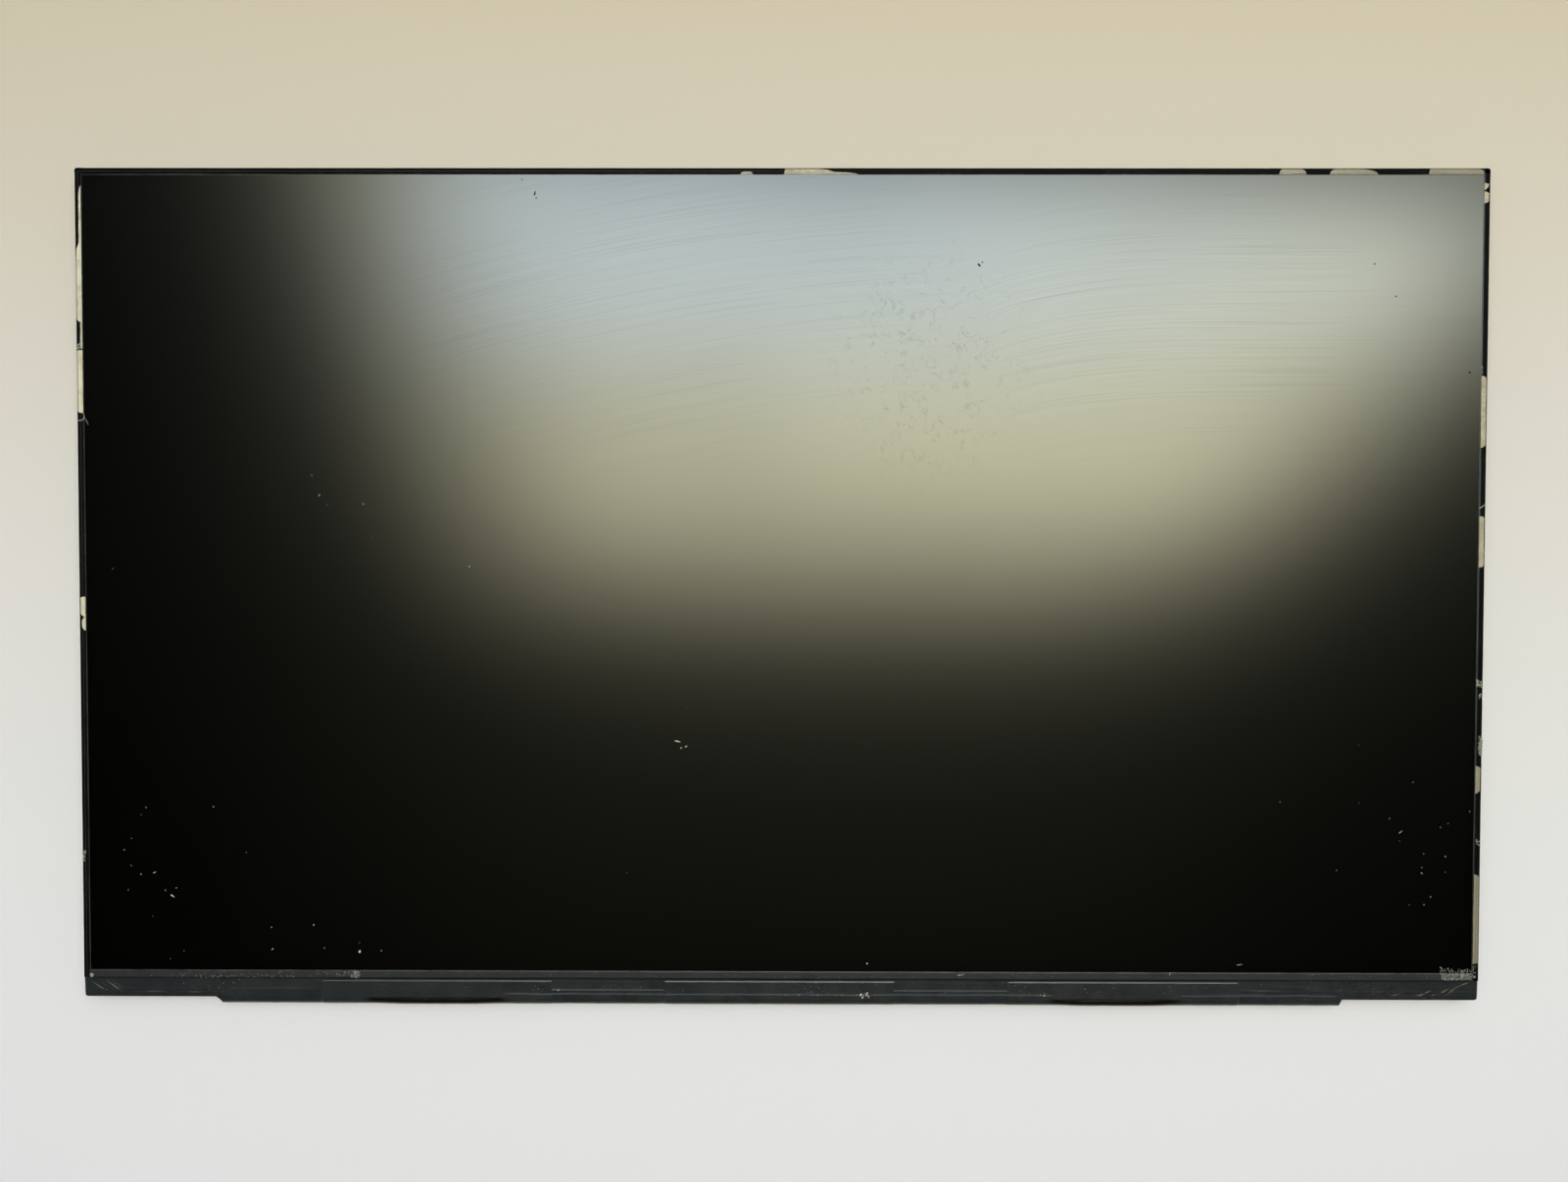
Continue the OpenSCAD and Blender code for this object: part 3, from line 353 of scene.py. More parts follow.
in_x = between(size_of(x), PICTURE_X + PICTURE_SOFT, PICTURE_X - PICTURE_SOFT)
in_low = between(y, PICTURE_Y[0] - PICTURE_SOFT, PICTURE_Y[0] + PICTURE_SOFT)
in_high = between(y, PICTURE_Y[1] + PICTURE_SOFT, PICTURE_Y[1] - PICTURE_SOFT)
picture = times(in_x, in_low, in_high)
dark = blend(picture, (0.0002, 0.0002, 0.0002), (0.0006, 0.0006, 0.0005))
face = blend(times(haze, 0.02), dark, (0.02, 0.02, 0.018))
# The film's cut edge mirrors more than its face
rim_x = between(size_of(x), 156.3 * MM, 156.36 * MM)
rim_y = between(y, 92.64 * MM, 92.72 * MM)
rim_mask = times(highest(rim_x, rim_y), 0.1)
feed(shader, Metallic=rim_mask, Base_Color=blend(rim_mask, face, (0.9, 0.9, 0.9)),
     Coat_Weight=minus(0.86, times(wiped, 0.13), True))
bump(shader, noise_node(where, 6000.0, 1.0), 0.0008)
dress(screen, "front_polarizer")


# Driver films and chips: amber polyimide with fine copper tracks, bonded on the glass ledge and folded
# round the edge to the board. The bare silicon chips sit inside the fold, so only the tape over the
# films shows them.
amber, tree, shader = finish("amber_film", (0.42, 0.24, 0.06), 0.3)
where = place(tree, "TexCoord").outputs["Object"]
tracks = place(tree, "TexWave", {"Vector": where, "Scale": 900.0, "Distortion": 0.4}, bands_direction="X")
track_share = between(tracks.outputs[1], 0.55, 0.7)
base = blend(grain_node(tree, 0.6), (0.36, 0.19, 0.04), (0.5, 0.3, 0.09))
feed(shader, Base_Color=blend(track_share, base, (0.62, 0.36, 0.2)))
dress(amber, "driver_film_left", "driver_film_middle", "driver_film_right")
dress(grained("silicon", (0.1, 0.1, 0.12), (0.2, 0.2, 0.22), (0.12, 0.22), 0.8), "driver_chip_left",
      "driver_chip_middle", "driver_chip_right")


# Driver board: a long, thin board with green solder resist over copper, stuck on the plate's rear.
# Its tracks show through the resist as slightly lighter lines. The parts are soldered on the side
# that faces away from the plate, and most of them lie below the insulating film.
board, tree, shader = finish("green_board", (0.01, 0.11, 0.05), 0.25)
where = place(tree, "TexCoord").outputs["Object"]
bricks = place(tree, "TexBrick", {"Vector": where, "Scale": 420.0, "Mortar Size": 0.06,
                                  "Color1": (0, 0, 0, 1), "Color2": (0, 0, 0, 1),
                                  "Mortar": (1, 1, 1, 1)}).outputs[0]
routes = place(tree, "TexWave", {"Vector": where, "Scale": 520.0, "Distortion": 1.5, "Detail": 1.0},
               bands_direction="Y").outputs[1]
traced = highest(bricks, between(routes, 0.75, 0.85))
feed(shader, Base_Color=blend(traced, (0.006, 0.07, 0.033), (0.02, 0.16, 0.075)))
bump(shader, traced, 0.02)
dress(board, "driver_board")

RESIN_PARTS = ("timing_chip", "power_chip", "backlight_chip", "memory_chip", "buffer_chip", "diodes",
               "resistors")
CERAMIC_PARTS = ("large_capacitors", "small_capacitors", "fuse")
dress(grained("moulded_resin", (0.012, 0.012, 0.013), (0.03, 0.03, 0.032), (0.5, 0.65), 0.12, depth=0.004),
      *RESIN_PARTS)
dress(grained("tan_ceramic", (0.3, 0.2, 0.12), (0.46, 0.33, 0.21), (0.35, 0.5), 0.2), *CERAMIC_PARTS)
dress(grained("pressed_ferrite", (0.06, 0.058, 0.055), (0.12, 0.117, 0.11), (0.5, 0.7), 0.1, depth=0.006),
      "inductors")


def add(name, data):
    """A new object in the scene."""
    made = bpy.data.objects.new(name, data)
    bpy.context.scene.collection.objects.link(made)
    return made


def mesh_from(name, built, material, smooth=False):
    """The mesh that was built up as a bmesh, with its finish."""
    data = bpy.data.meshes.new(name)
    built.to_mesh(data)
    built.free()
    data.materials.append(material)
    if smooth:
        data.polygons.foreach_set("use_smooth", [True] * len(data.polygons))
    return data


def as_piece(name, built, material, smooth=False):
    """Turns a bmesh into a piece of the scene that rides on the panel."""
    bmesh.ops.recalc_face_normals(built, faces=built.faces)
    piece = add(name, mesh_from(name, built, material, smooth))
    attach(piece, "root")
    return piece


# Test pads: two groups of low gilt discs towards either end of the board, in millimetres
PAD_X = (93.5, 95, 96.5, 123.4, 124.2)
PAD_STAGGER = 1.3
PAD_RADIUS = 0.32
PAD_HEIGHT = 0.03
gilt = grained("gilt_pads", (0.6, 0.4, 0.12), (0.85, 0.62, 0.25), (0.22, 0.35), 0.2, metallic=1.0)
board_low, board_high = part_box("driver_board")
pad_row = board_high.y / MM - 0.7
pad_mesh = bmesh.new()
for side in (-1, 1):
    for x in PAD_X:
        disc = bmesh.ops.create_cone(pad_mesh, cap_ends=True, segments=20, radius1=PAD_RADIUS * MM,
                                     radius2=0.94 * PAD_RADIUS * MM, depth=PAD_HEIGHT * MM)
        centre = Vector((side * x, pad_row - PAD_STAGGER * (x % 2), board_low.z / MM - 0.01))
        bmesh.ops.translate(pad_mesh, verts=disc["verts"], vec=centre * MM)
pads = as_piece("test_pads", pad_mesh, gilt)


# Video connector: a black moulded housing with gilt contacts, under a tinned shell that is soldered
# to the board by its two ears. The cable's plug slides in from the panel's edge.
dress(grained("black_moulding", (0.01, 0.01, 0.011), (0.025, 0.025, 0.026), (0.4, 0.55), 0.15, depth=0.004),
      "connector_housing")
dress(grained("tinned_shell", (0.5, 0.5, 0.49), (0.72, 0.72, 0.7), (0.25, 0.42), 0.3, (1, 6, 1), 0.4, 0.003,
              metallic=1.0), "connector_shell")
dress(gilt, "connector_contacts")


# Insulating film and foils: a black film stuck over the board, pulled down between the parts so that
# they show through as bumps, and a soft copper foil near each end that earths the board to the plate.
dress(grained("copper_foil", (0.55, 0.27, 0.13), (0.78, 0.45, 0.28), (0.2, 0.42), 0.5, clouds=0.4,
              depth=0.02, metallic=1.0), "ground_foils")

FILM_STEP = 0.55 * MM
TAPE_FACE = 0.84  # height of the bottom tape's end on the board, in millimetres
PLATE_FACE = 1.55  # height of the plate's rear face


def lowest_parts():
    """Makes a function that tells how low the board's parts reach at a place, seen from below."""
    parts = bmesh.new()
    for name in (*RESIN_PARTS, *CERAMIC_PARTS, "inductors"):
        parts.from_mesh(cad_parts[name].data)
    tree = BVHTree.FromBMesh(parts)
    parts.free()

    def height(x, y):
        hit = tree.ray_cast(Vector((x, y, -1 * MM)), Vector((0, 0, 1)))[0]
        return hit.z if hit else board_low.z

    return height


def lowest_near(height, x, y, reach):
    """The lowest of the heights at and round a place, so that a film at that height clears every part."""
    offsets = (-reach, -reach / 2, 0, reach / 2, reach)
    return min(height(x + dx, y + dy) for dx in offsets for dy in offsets)


def smooth_rows(rows, passes):
    """Averages each height with its four neighbours, a few times over."""
    for _ in range(passes):
        last_row, last = len(rows) - 1, len(rows[0]) - 1
        rows = [[(rows[max(i - 1, 0)][j] + rows[min(i + 1, last_row)][j] + row[max(j - 1, 0)]
                  + row[min(j + 1, last)] + 2 * row[j]) / 6 for j in range(last + 1)]
                for i, row in enumerate(rows)]
    return rows


def sheet_from(name, rows, thickness, material):
    """A smooth film through rows of points, in metres, with its thickness on the far side."""
    built = bmesh.new()
    points = [[built.verts.new(p) for p in row] for row in rows]
    for row, after in zip(points, points[1:]):
        for corners in zip(row, row[1:], after[1:], after):
            built.faces.new(corners)
    bmesh.ops.remove_doubles(built, verts=built.verts, dist=0.002 * MM)
    piece = add(name, mesh_from(name, built, material, smooth=True))
    thick = piece.modifiers.new("thickness", "SOLIDIFY")
    thick.thickness = thickness
    thick.offset = -1.0
    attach(piece, "root")
    return piece


cover_finish = grained("black_insulating_film", (0.008, 0.008, 0.009), (0.018, 0.018, 0.02), (0.22, 0.4),
                       1.2, (1, 1, 1), 0.5, 0.012)
dress(cover_finish, "board_cover_film")
cover_low, cover_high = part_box("board_cover_film")
part_height = lowest_parts()
columns = int((cover_high.x - cover_low.x) / FILM_STEP)
lines_across = int((cover_high.y - cover_low.y) / FILM_STEP)
cover_xs = [cover_low.x + (cover_high.x - cover_low.x) * i / columns for i in range(columns + 1)]
cover_ys = [cover_low.y + (cover_high.y - cover_low.y) * j / lines_across for j in range(lines_across + 1)]
film_reach = (board_low.y + 1.8 * MM, board_high.y - 0.1 * MM)


def cover_height(x, y):
    """Where the film would lie before it is pulled smooth: on the tape, on the parts or on the plate."""
    if y < film_reach[0]:
        return TAPE_FACE * MM
    if y > film_reach[1]:
        return PLATE_FACE * MM
    return min(lowest_near(part_height, x, y, FILM_STEP), TAPE_FACE * MM)


raw = [[cover_height(x, y) for y in cover_ys] for x in cover_xs]
pulled = smooth_rows(raw, 2)
rows = []
for i, x in enumerate(cover_xs):
    row = []
    for j, y in enumerate(cover_ys):
        z = min(pulled[i][j], raw[i][j]) - 0.012 * MM * (1 + noise.noise(Vector((x, y, 0)) * 300))
        row.append((x, y, min(z, raw[i][j]) - 0.05 * MM))
    rows.append(row)
cover = sheet_from("insulating_film", rows, -0.045 * MM, cover_finish)
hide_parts("board_cover_film")


# Silver dot: a drop of conductive paint on the corner of the front glass, dull and slightly domed.
# It is lumpy where the flakes in the paint settled, and its outline is a little uneven.
silver, tree, shader = finish("silver_paint", (0.6, 0.59, 0.56), 0.5, metallic=0.35)
dress(silver, "silver_dot")
lumps = grain_node(tree, 0.15, clouds=0.2)
feed(shader, Base_Color=blend(lumps, (0.26, 0.26, 0.26), (0.5, 0.5, 0.49)))
bump(shader, lumps, 0.03)
dot_low, dot_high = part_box("silver_dot")
dot_radius = (dot_high.x - dot_low.x) / 2
dome = bmesh.new()
bmesh.ops.create_uvsphere(dome, u_segments=28, v_segments=16, radius=dot_radius)
for v in dome.verts:
    wobble = 1 + 0.06 * noise.noise(v.co * 2500)
    v.co.x *= wobble
    v.co.y *= wobble
    v.co.z = max(v.co.z / dot_radius * (dot_high.z - dot_low.z), 0) * wobble
bmesh.ops.remove_doubles(dome, verts=dome.verts, dist=0.002 * MM)
dot_middle = (dot_low + dot_high) / 2
bmesh.ops.translate(dome, verts=dome.verts, vec=(dot_middle.x, dot_middle.y, dot_low.z))
dot = as_piece("silver_dot_dome", dome, silver, smooth=True)
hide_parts("silver_dot")


# Bottom tape: one strip of blue-black film, 0.06 mm thick. It starts on the glass below the polariser,
# drops over the edge of the front glass, lies over the three driver films and dips between them, then
# folds round the edge and ends on the board. Past the folded films it wraps the frame's own edge.
CORNER_R = 0.55  # radius of the panel's corners
FILM_PITCH = 77.8  # from one driver film's middle to the next, in millimetres

scuffed_tape_painted_light, tree, shader = finish("bottom_tape_film", (0.03, 0.033, 0.037), 0.4, Specular_IOR_Level=0.5)
where, x, y, z = position(tree)
satin = grain_node(tree, 0.25, (3.0, 1.0, 1.0), 0.5)
rubs = marks_node(tree, 0.22, (6.0, 1.0, 1.0), 0.1, 0.55)
specks = noise_node(where, 2600.0)
specked = times(between(specks, 0.66, 0.74), between(noise_node(where, 45.0), 0.45, 0.65))
base = blend(satin, (0.019, 0.0215, 0.025), (0.031, 0.035, 0.04))
on_glass = between(y, -88.0 * MM, -87.9 * MM)
base = blend(times(on_glass, 0.35), base, (0.052, 0.055, 0.06))
base = blend(times(rubs, 0.3), base, (0.1, 0.105, 0.11))

# Painted highlights: lighter lines on the tape's inner edge, the films' upper edges, the sag between
# the films and the fold. Painted shade: the step below the front glass, the sharpest stretches of the
# fold and the fold's lowest edge are painted near black.
reach = size_of(x)
wave = noise_node(place(tree, "CombineXYZ", {0: x}).outputs[0], 90.0, 3.0)
wavy = plus(y, times(minus(wave, 0.5), 0.5 * MM))
gaps = noise_node(where, 240.0, 3.0)
pitched = place(tree, "Math", {0: x, 1: FILM_PITCH * MM / 2, 2: -FILM_PITCH * MM / 2},
                operation="WRAP").outputs[0]
film = times(between(size_of(pitched), 26.15 * MM, 25.95 * MM), between(reach, 104 * MM, 103.8 * MM))
sag = times(minus(1.0, film), between(reach, 52 * MM, 51.5 * MM))
folded = highest(between(reach, 63 * MM, 61 * MM), stripe(x, 108.5 * MM, 17 * MM, MM))
crumpled = times(stripe(x, -136 * MM, 8 * MM, 3 * MM), between(gaps, 0.45, 0.6))
# Painted highlights along the ridges, lighter lines where they would catch the light
grain_and_highlights = highest(
    times(stripe(wavy, -86.34 * MM, 0.07 * MM, 0.08 * MM), between(gaps, 0.25, 0.55)),
    times(stripe(y, -88.78 * MM, 0.04 * MM, 0.06 * MM), film),
    times(stripe(y, -90.75 * MM, 0.08 * MM, 0.12 * MM), sag),
    times(stripe(wavy, -91.68 * MM, 0.08 * MM, 0.1 * MM), folded),
    times(stripe(wavy, -91.45 * MM, 0.06 * MM, 0.1 * MM), crumpled),
)
on_front = between(z, 2.6 * MM, 3.0 * MM)
base = blend(times(grain_and_highlights, on_front, 0.6), base, (0.13, 0.137, 0.145))
# Painted shade, near black: the fold's sharp bends, the step below the front glass and the fold's foot
bends = highest(stripe(x, -78 * MM, 14 * MM, 3 * MM), stripe(x, 76 * MM, 13 * MM, 3 * MM))
bends = times(bends, between(wavy, -92.4 * MM, -92.7 * MM))
step = times(stripe(y, -88.09 * MM, 0.18 * MM, 0.06 * MM), between(reach, 156.6 * MM, 156.2 * MM))
fold_foot = between(y, -93.5 * MM, -93.9 * MM)
end_foot = times(between(reach, 126.9 * MM, 127.4 * MM), between(y, -92.25 * MM, -92.45 * MM))
shaded = highest(step, bends, fold_foot, end_foot)
base = blend(times(shaded, 0.95), base, (0.001, 0.001, 0.001))
feed(shader, Base_Color=blend(times(specked, 0.6), base, (0.3, 0.3, 0.3)),
     Roughness=spread(satin, 0.27, 0.38))
bump(shader, satin, 0.012)
dress(scuffed_tape_painted_light, "bottom_tape")


def bend(y0, z0, y1, z1, steps, outer_first):
    """Points of a quarter of an oval from one place to another, in a section across the edge."""
    made = []
    for i in range(1, steps + 1):
        turn = math.pi / 2 * i / steps
        if outer_first:
            made.append((y0 + (y1 - y0) * math.sin(turn), z0 + (z1 - z0) * (1 - math.cos(turn))))
        else:
            made.append((y0 + (y1 - y0) * (1 - math.cos(turn)), z0 + (z1 - z0) * math.sin(turn)))
    return made


def line(points, step):
    """Points at about that spacing along a few straight stretches, in millimetres."""
    made = [points[0]]
    for (y0, z0), (y1, z1) in zip(points, points[1:]):
        count = max(1, round(math.hypot(y1 - y0, z1 - z0) / step))
        made += [(y0 + (y1 - y0) * i / count, z0 + (z1 - z0) * i / count) for i in range(1, count + 1)]
    return made


# Sections of the tape as (y, height) in millimetres: over a film, between the films and past them
STRIP = [(-86.24, 3.71), (-86.4, 3.77), (-87.9, 3.77), (-88.12, 3.5), (-88.3, 3.475)]
LEDGE_Y = (-88.62, -88.84, -91.6)
FLAT_END = -92.895  # where the flat stretch over a film ends and its bend starts
FLAP_END = -88.55  # how far in the tape reaches over the board
WALL_Y = 92.55  # how far out the frame's lower wall stands, which the tape follows past the films
WALL_TOP = 3.18
WALL_LOW = 1.56
front_common = line(STRIP, 0.16)
on_film = line([STRIP[-1], (LEDGE_Y[0], 3.475), (LEDGE_Y[1], 3.56), (LEDGE_Y[2], 3.55)], 0.14)[1:]
dipped = line([STRIP[-1], (LEDGE_Y[0], 3.475), (LEDGE_Y[1], 3.46), (LEDGE_Y[2], 3.4)], 0.14)[1:]
dipped = [(y, z + 0.03 * math.exp(-((y + 90.75) / 0.2) ** 2)) for y, z in dipped]
film_profile = (front_common + on_film + line([on_film[-1], (FLAT_END, 3.55)], 0.2)[1:]
                + bend(FLAT_END, 3.55, -OUT_Y, 2.195, 9, True)
                + bend(-OUT_Y, 2.195, FLAT_END, TAPE_FACE, 8, False)
                + line([(FLAT_END, TAPE_FACE), (FLAP_END, TAPE_FACE)], 1.0)[1:])
low_profile = (front_common + dipped + line([dipped[-1], (FLAT_END, 3.345)], 0.2)[1:]
               + bend(FLAT_END, 3.345, -OUT_Y, 2.085, 9, True)
               + bend(-OUT_Y, 2.085, -93.0, TAPE_FACE, 8, False)
               + line([(-93.0, TAPE_FACE), (FLAP_END, TAPE_FACE)], 1.0)[1:])
wall_points = (line([(-91.6, 3.335), (-92.4, 3.33)], 0.16)[1:]
               + bend(-92.4, 3.33, -WALL_Y, WALL_TOP, 5, True))
flap = line([(-92.4, 1.49), (-88.99, 1.49)], 1.0)
steps = len(low_profile) - len(front_common) - len(dipped) - len(wall_points) - len(flap)
wall_points += [(-WALL_Y, WALL_TOP - (WALL_TOP - WALL_LOW) * i / steps) for i in range(1, steps + 1)] + flap
end_profile = front_common + [(y, z - 0.02 * (y < -91)) for y, z in dipped] + wall_points

BULGE_X = 127.0
FILM_EDGES = [centre + side * 26.09 for centre in (-FILM_PITCH, 0, FILM_PITCH) for side in (-1, 1)]


def soft_step(value, edge, width):
    """0 below the edge and 1 above it, over that width."""
    t = min(max((value - edge) / width + 0.5, 0), 1)
    return t * t * (3 - 2 * t)


def over_film(x):
    """1 where a driver film lies below the tape, and 0 between the films."""
    return sum((1 if i % 2 == 0 else -1) * soft_step(x, edge, 0.5) for i, edge in enumerate(FILM_EDGES))


CREASES = [  # from, to, height and width of each wrinkle, in millimetres
    ((-156.3, -89.3), (-153.2, -91.3), 0.13, 0.13), ((-153.2, -88.9), (-149.4, -91.6), 0.14, 0.14),
    ((-154.9, -89.2), (-152.2, -90.9), 0.05, 0.15), ((-151.6, -89.2), (-148.6, -91.3), 0.05, 0.16),
    ((134.0, -91.6), (135.7, -90.9), 0.1, 0.13), ((137.7, -92.1), (140.8, -91.1), 0.12, 0.13),
    ((140.4, -91.9), (146.0, -91.5), 0.1, 0.13), ((144.1, -92.0), (147.4, -90.5), 0.13, 0.13),
    ((146.8, -92.0), (149.4, -90.9), 0.11, 0.13), ((148.6, -91.9), (151.5, -89.9), 0.13, 0.13),
    ((150.3, -92.0), (153.3, -89.7), 0.13, 0.13), ((153.3, -89.7), (156.4, -88.3), 0.12, 0.13),
    ((-147.0, -91.8), (-138.5, -91.5), 0.07, 0.17), ((-137.0, -91.9), (-129.0, -91.4), 0.09, 0.17),
    ((-63.0, -91.75), (-20.0, -91.6), 0.03, 0.15), ((-20.0, -91.6), (25.0, -91.55), 0.035, 0.15),
    ((25.0, -91.6), (61.8, -91.55), 0.03, 0.15), ((90.9, -91.5), (126.0, -91.45), 0.045, 0.16),
    ((-124.0, -91.0), (-105.0, -90.5), 0.06, 0.35), ((-118.0, -91.5), (-106.0, -90.9), 0.04, 0.25),
    ((104.5, -90.4), (117.0, -91.2), 0.05, 0.3), ((110.0, -89.5), (125.0, -90.6), 0.05, 0.35),
    ((-50.5, -88.9), (-27.0, -89.2), 0.03, 0.25), ((26.5, -88.9), (52.0, -89.3), 0.03, 0.25),
]
SHARP_BENDS = ((-93.0, -63.0), (61.0, 91.0))  # where the fold is squarer, along x
FOLD_Y = -92.8  # the point that the fold bulges away from
FOLD_Z = 2.14


def crease_height(x, y):
    """How far the wrinkles lift the tape at a place, in millimetres."""
    total = 0.0
    for (x0, y0), (x1, y1), height, width in CREASES:
        if min(x0, x1) - 0.5 < x < max(x0, x1) + 0.5:
            share = ((x - x0) * (x1 - x0) + (y - y0) * (y1 - y0)) / ((x1 - x0) ** 2 + (y1 - y0) ** 2)
            share = min(max(share, 0), 1)
            away = math.hypot(x - x0 - share * (x1 - x0), y - y0 - share * (y1 - y0))
            taper = math.sin(math.pi * min(max(share, 0.06), 0.94)) ** 0.4
            total += height * math.exp(-(away / width) ** 2) * taper
    return total


def round_corner(x, y):
    """Bends a place near one of the panel's four corners onto its rounded outline, in millimetres."""
    cx, cy = OUT_X - CORNER_R, (OUT_Y if y > 0 else WALL_Y) - CORNER_R
    dx, dy = abs(x) - cx, abs(y) - cy
    if dx <= 0 or dy <= 0:
        return x, y
    scale = max(dx, dy) / math.hypot(dx, dy)
    return math.copysign(cx + dx * scale, x), math.copysign(cy + dy * scale, y)


def stations(start, end, coarse, fine, busy):
    """Places along an edge, close together in the busy stretches and further apart elsewhere."""
    made = [start]
    while made[-1] < end - 1e-6:
        step = fine if any(a - 0.6 < made[-1] < b + 0.4 for a, b in busy) else coarse
        made.append(min(made[-1] + step, end))
    return made


busy_bottom = [(edge - 0.5, edge + 0.5) for edge in FILM_EDGES + [-BULGE_X, BULGE_X]]
busy_bottom += [(-OUT_X, -148.5), (133.5, OUT_X)]
rows = []
for x in stations(-OUT_X, OUT_X, coarse=1.1, fine=0.13, busy=busy_bottom):
    film = over_film(x)
    end = soft_step(abs(x), BULGE_X + 0.25, 0.6)
    row = []
    sharp = sum(soft_step(x, a + 4, 8) - soft_step(x, b - 4, 8) for a, b in SHARP_BENDS)
    for place_film, place_low, place_end in zip(film_profile, low_profile, end_profile):
        y, z = (low + (high - low) * film for low, high in zip(place_low, place_film))
        if z > 2.2 and y < FOLD_Y:
            fuller = 1 + 0.13 * sharp * math.sin(2 * math.atan2(FOLD_Y - y, z - FOLD_Z))
            y, z = FOLD_Y + (y - FOLD_Y) * fuller, FOLD_Z + (z - FOLD_Z) * fuller
        y, z = y + (place_end[0] - y) * end, z + (place_end[1] - z) * end
        if z > 3.0:
            z += crease_height(x, y) + 0.012 * noise.noise(Vector((x * 0.5, y * 1.6, 4.0)))
        if z < 3.3 and y < -92.6:
            y += 0.03 * noise.noise(Vector((x * 0.4, z, 9.0)))
        row.append((*round_corner(x, y), z))
    rows.append(row)
# Both ends of the tape are turned down over the frame's sides
wraps = [[(x, y, max(WALL_LOW, z - 1.2)) for x, y, z in row] for row in (rows[0], rows[-1])]
rims = [[(x, y, WALL_LOW) for x, y, z in row] for row in wraps]
rows = [rims[0], wraps[0]] + rows + [wraps[1], rims[1]]
rows = [[Vector(p) * MM for p in row] for row in rows]
wrapped = sheet_from("bottom_tape_strip", rows, 0.05 * MM, scuffed_tape_painted_light)
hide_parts("bottom_tape")


# Edge tapes: black film strips that run from the polariser over the frame's top, down its side and
# 3.5 mm onto the plate. They are torn in many places, with round-ended gaps that bare the cream frame.
# Painted highlights run as grey lines along its inner edge, the middle of its left half and the outer
# corner, and as a bluish line along the right tape; grey scuffs are speckled over it in patches.
black_tape, tree, shader = finish("edge_tape_film", (0.006, 0.006, 0.0065), 0.45, Specular_IOR_Level=0.05)
where, x, y, z = position(tree)
side_gap, edge_gap = edge_gaps(x, y)
grain_and_highlights = grain_node(tree, 0.3, clouds=0.4)
patches = noise_node(where, 70.0, 3.0)
streaky = grain_node(tree, 0.5, (14.0, 14.0, 1.0), 0.5)
right_side = between(x, -10 * MM, 10 * MM)
# Behind the front a metre is added to the distances, which takes the lines off the rear
behind = between(z, 3.5 * MM, 3.0 * MM)
front_gap = plus(edge_gap, behind)
front_side_gap = plus(side_gap, behind)
# Painted highlights: grey lines along the inner edge, the middle and the outer corner; bluish on the right
inner_highlight = times(stripe(front_gap, 1.38 * MM, 0.05 * MM, 0.05 * MM), streaky)
middle_highlight = times(stripe(front_gap, 0.72 * MM, 0.03 * MM, 0.05 * MM), minus(1.0, right_side))
blue_share = spread(y, 0.15, 1.0, -60 * MM, 60 * MM)
bluish_highlight = times(stripe(front_side_gap, 1.27 * MM, 0.1 * MM, 0.06 * MM), right_side, blue_share)
outer_highlight = times(stripe(edge_gap, 0.06 * MM, 0.04 * MM, 0.04 * MM), streaky)
speckle = noise_node(where, 3600.0, 3.0)
scuffs = times(between(speckle, 0.56, 0.68), between(patches, 0.48, 0.6))
# The painted highlights together with the grey speckled scuffs
wear_and_highlights = plus(times(inner_highlight, 0.7), times(scuffs, 0.3))
wear_and_highlights = plus(wear_and_highlights, times(plus(middle_highlight, outer_highlight), 0.4), True)
base = blend(grain_and_highlights, (0.0015, 0.0015, 0.0017), (0.005, 0.005, 0.0055))
base = blend(wear_and_highlights, base, (0.1, 0.1, 0.1))
feed(shader, Base_Color=blend(times(bluish_highlight, 0.9), base, (0.12, 0.135, 0.165)),
     Roughness=spread(grain_and_highlights, 0.38, 0.55))
bump(shader, grain_and_highlights, 0.012)
dress(black_tape, "left_tape", "right_tape", "top_tape")

# Below the black film lies its cream carrier, which stays behind where the black is torn off. Its
# outer edge is dark brown, partly smeared adhesive and partly painted shade where it turns down. It is
# paler at the left and darker at the lower right and along the panel's top right.
carrier, tree, shader = finish("cream_carrier", (0.62, 0.54, 0.38), 0.5)
where, x, y, z = position(tree)
side_gap, edge_gap = edge_gaps(x, y)
fibres = grain_node(tree, 0.3, (2.0, 2.0, 1.0), 0.4)
smeared = times(between(noise_node(where, 330.0, 5.0, Roughness=0.7), 0.47, 0.64), 0.3)
# Painted shade with smeared adhesive on the outer rim, where the carrier turns down the side
rim = between(edge_gap, 0.36 * MM, 0.2 * MM)
rubbed = times(stripe(edge_gap, 0.74 * MM, 0.03 * MM, 0.06 * MM), between(y, -20 * MM, -60 * MM))
# Darker at the lower right and along the top right; paler at the left
low_right = times(between(y, -20 * MM, -50 * MM), between(x, 0.0, 10 * MM))
top_right = times(between(y, 91 * MM, 92.5 * MM), between(x, 20 * MM, 150 * MM))
darkened = highest(low_right, top_right)
base = blend(fibres, (0.34, 0.295, 0.225), (0.52, 0.46, 0.36))
base = blend(times(between(x, -120 * MM, -156 * MM), 0.6), base, (0.82, 0.77, 0.63))
base = blend(times(darkened, 0.65), base, (0.2, 0.17, 0.135))
base = blend(times(rubbed, 0.6), base, (0.1, 0.085, 0.07))
base = blend(smeared, base, (0.2, 0.13, 0.075))
feed(shader, Base_Color=blend(times(rim, 0.75), base, (0.13, 0.095, 0.06)))
bump(shader, fibres, 0.015)

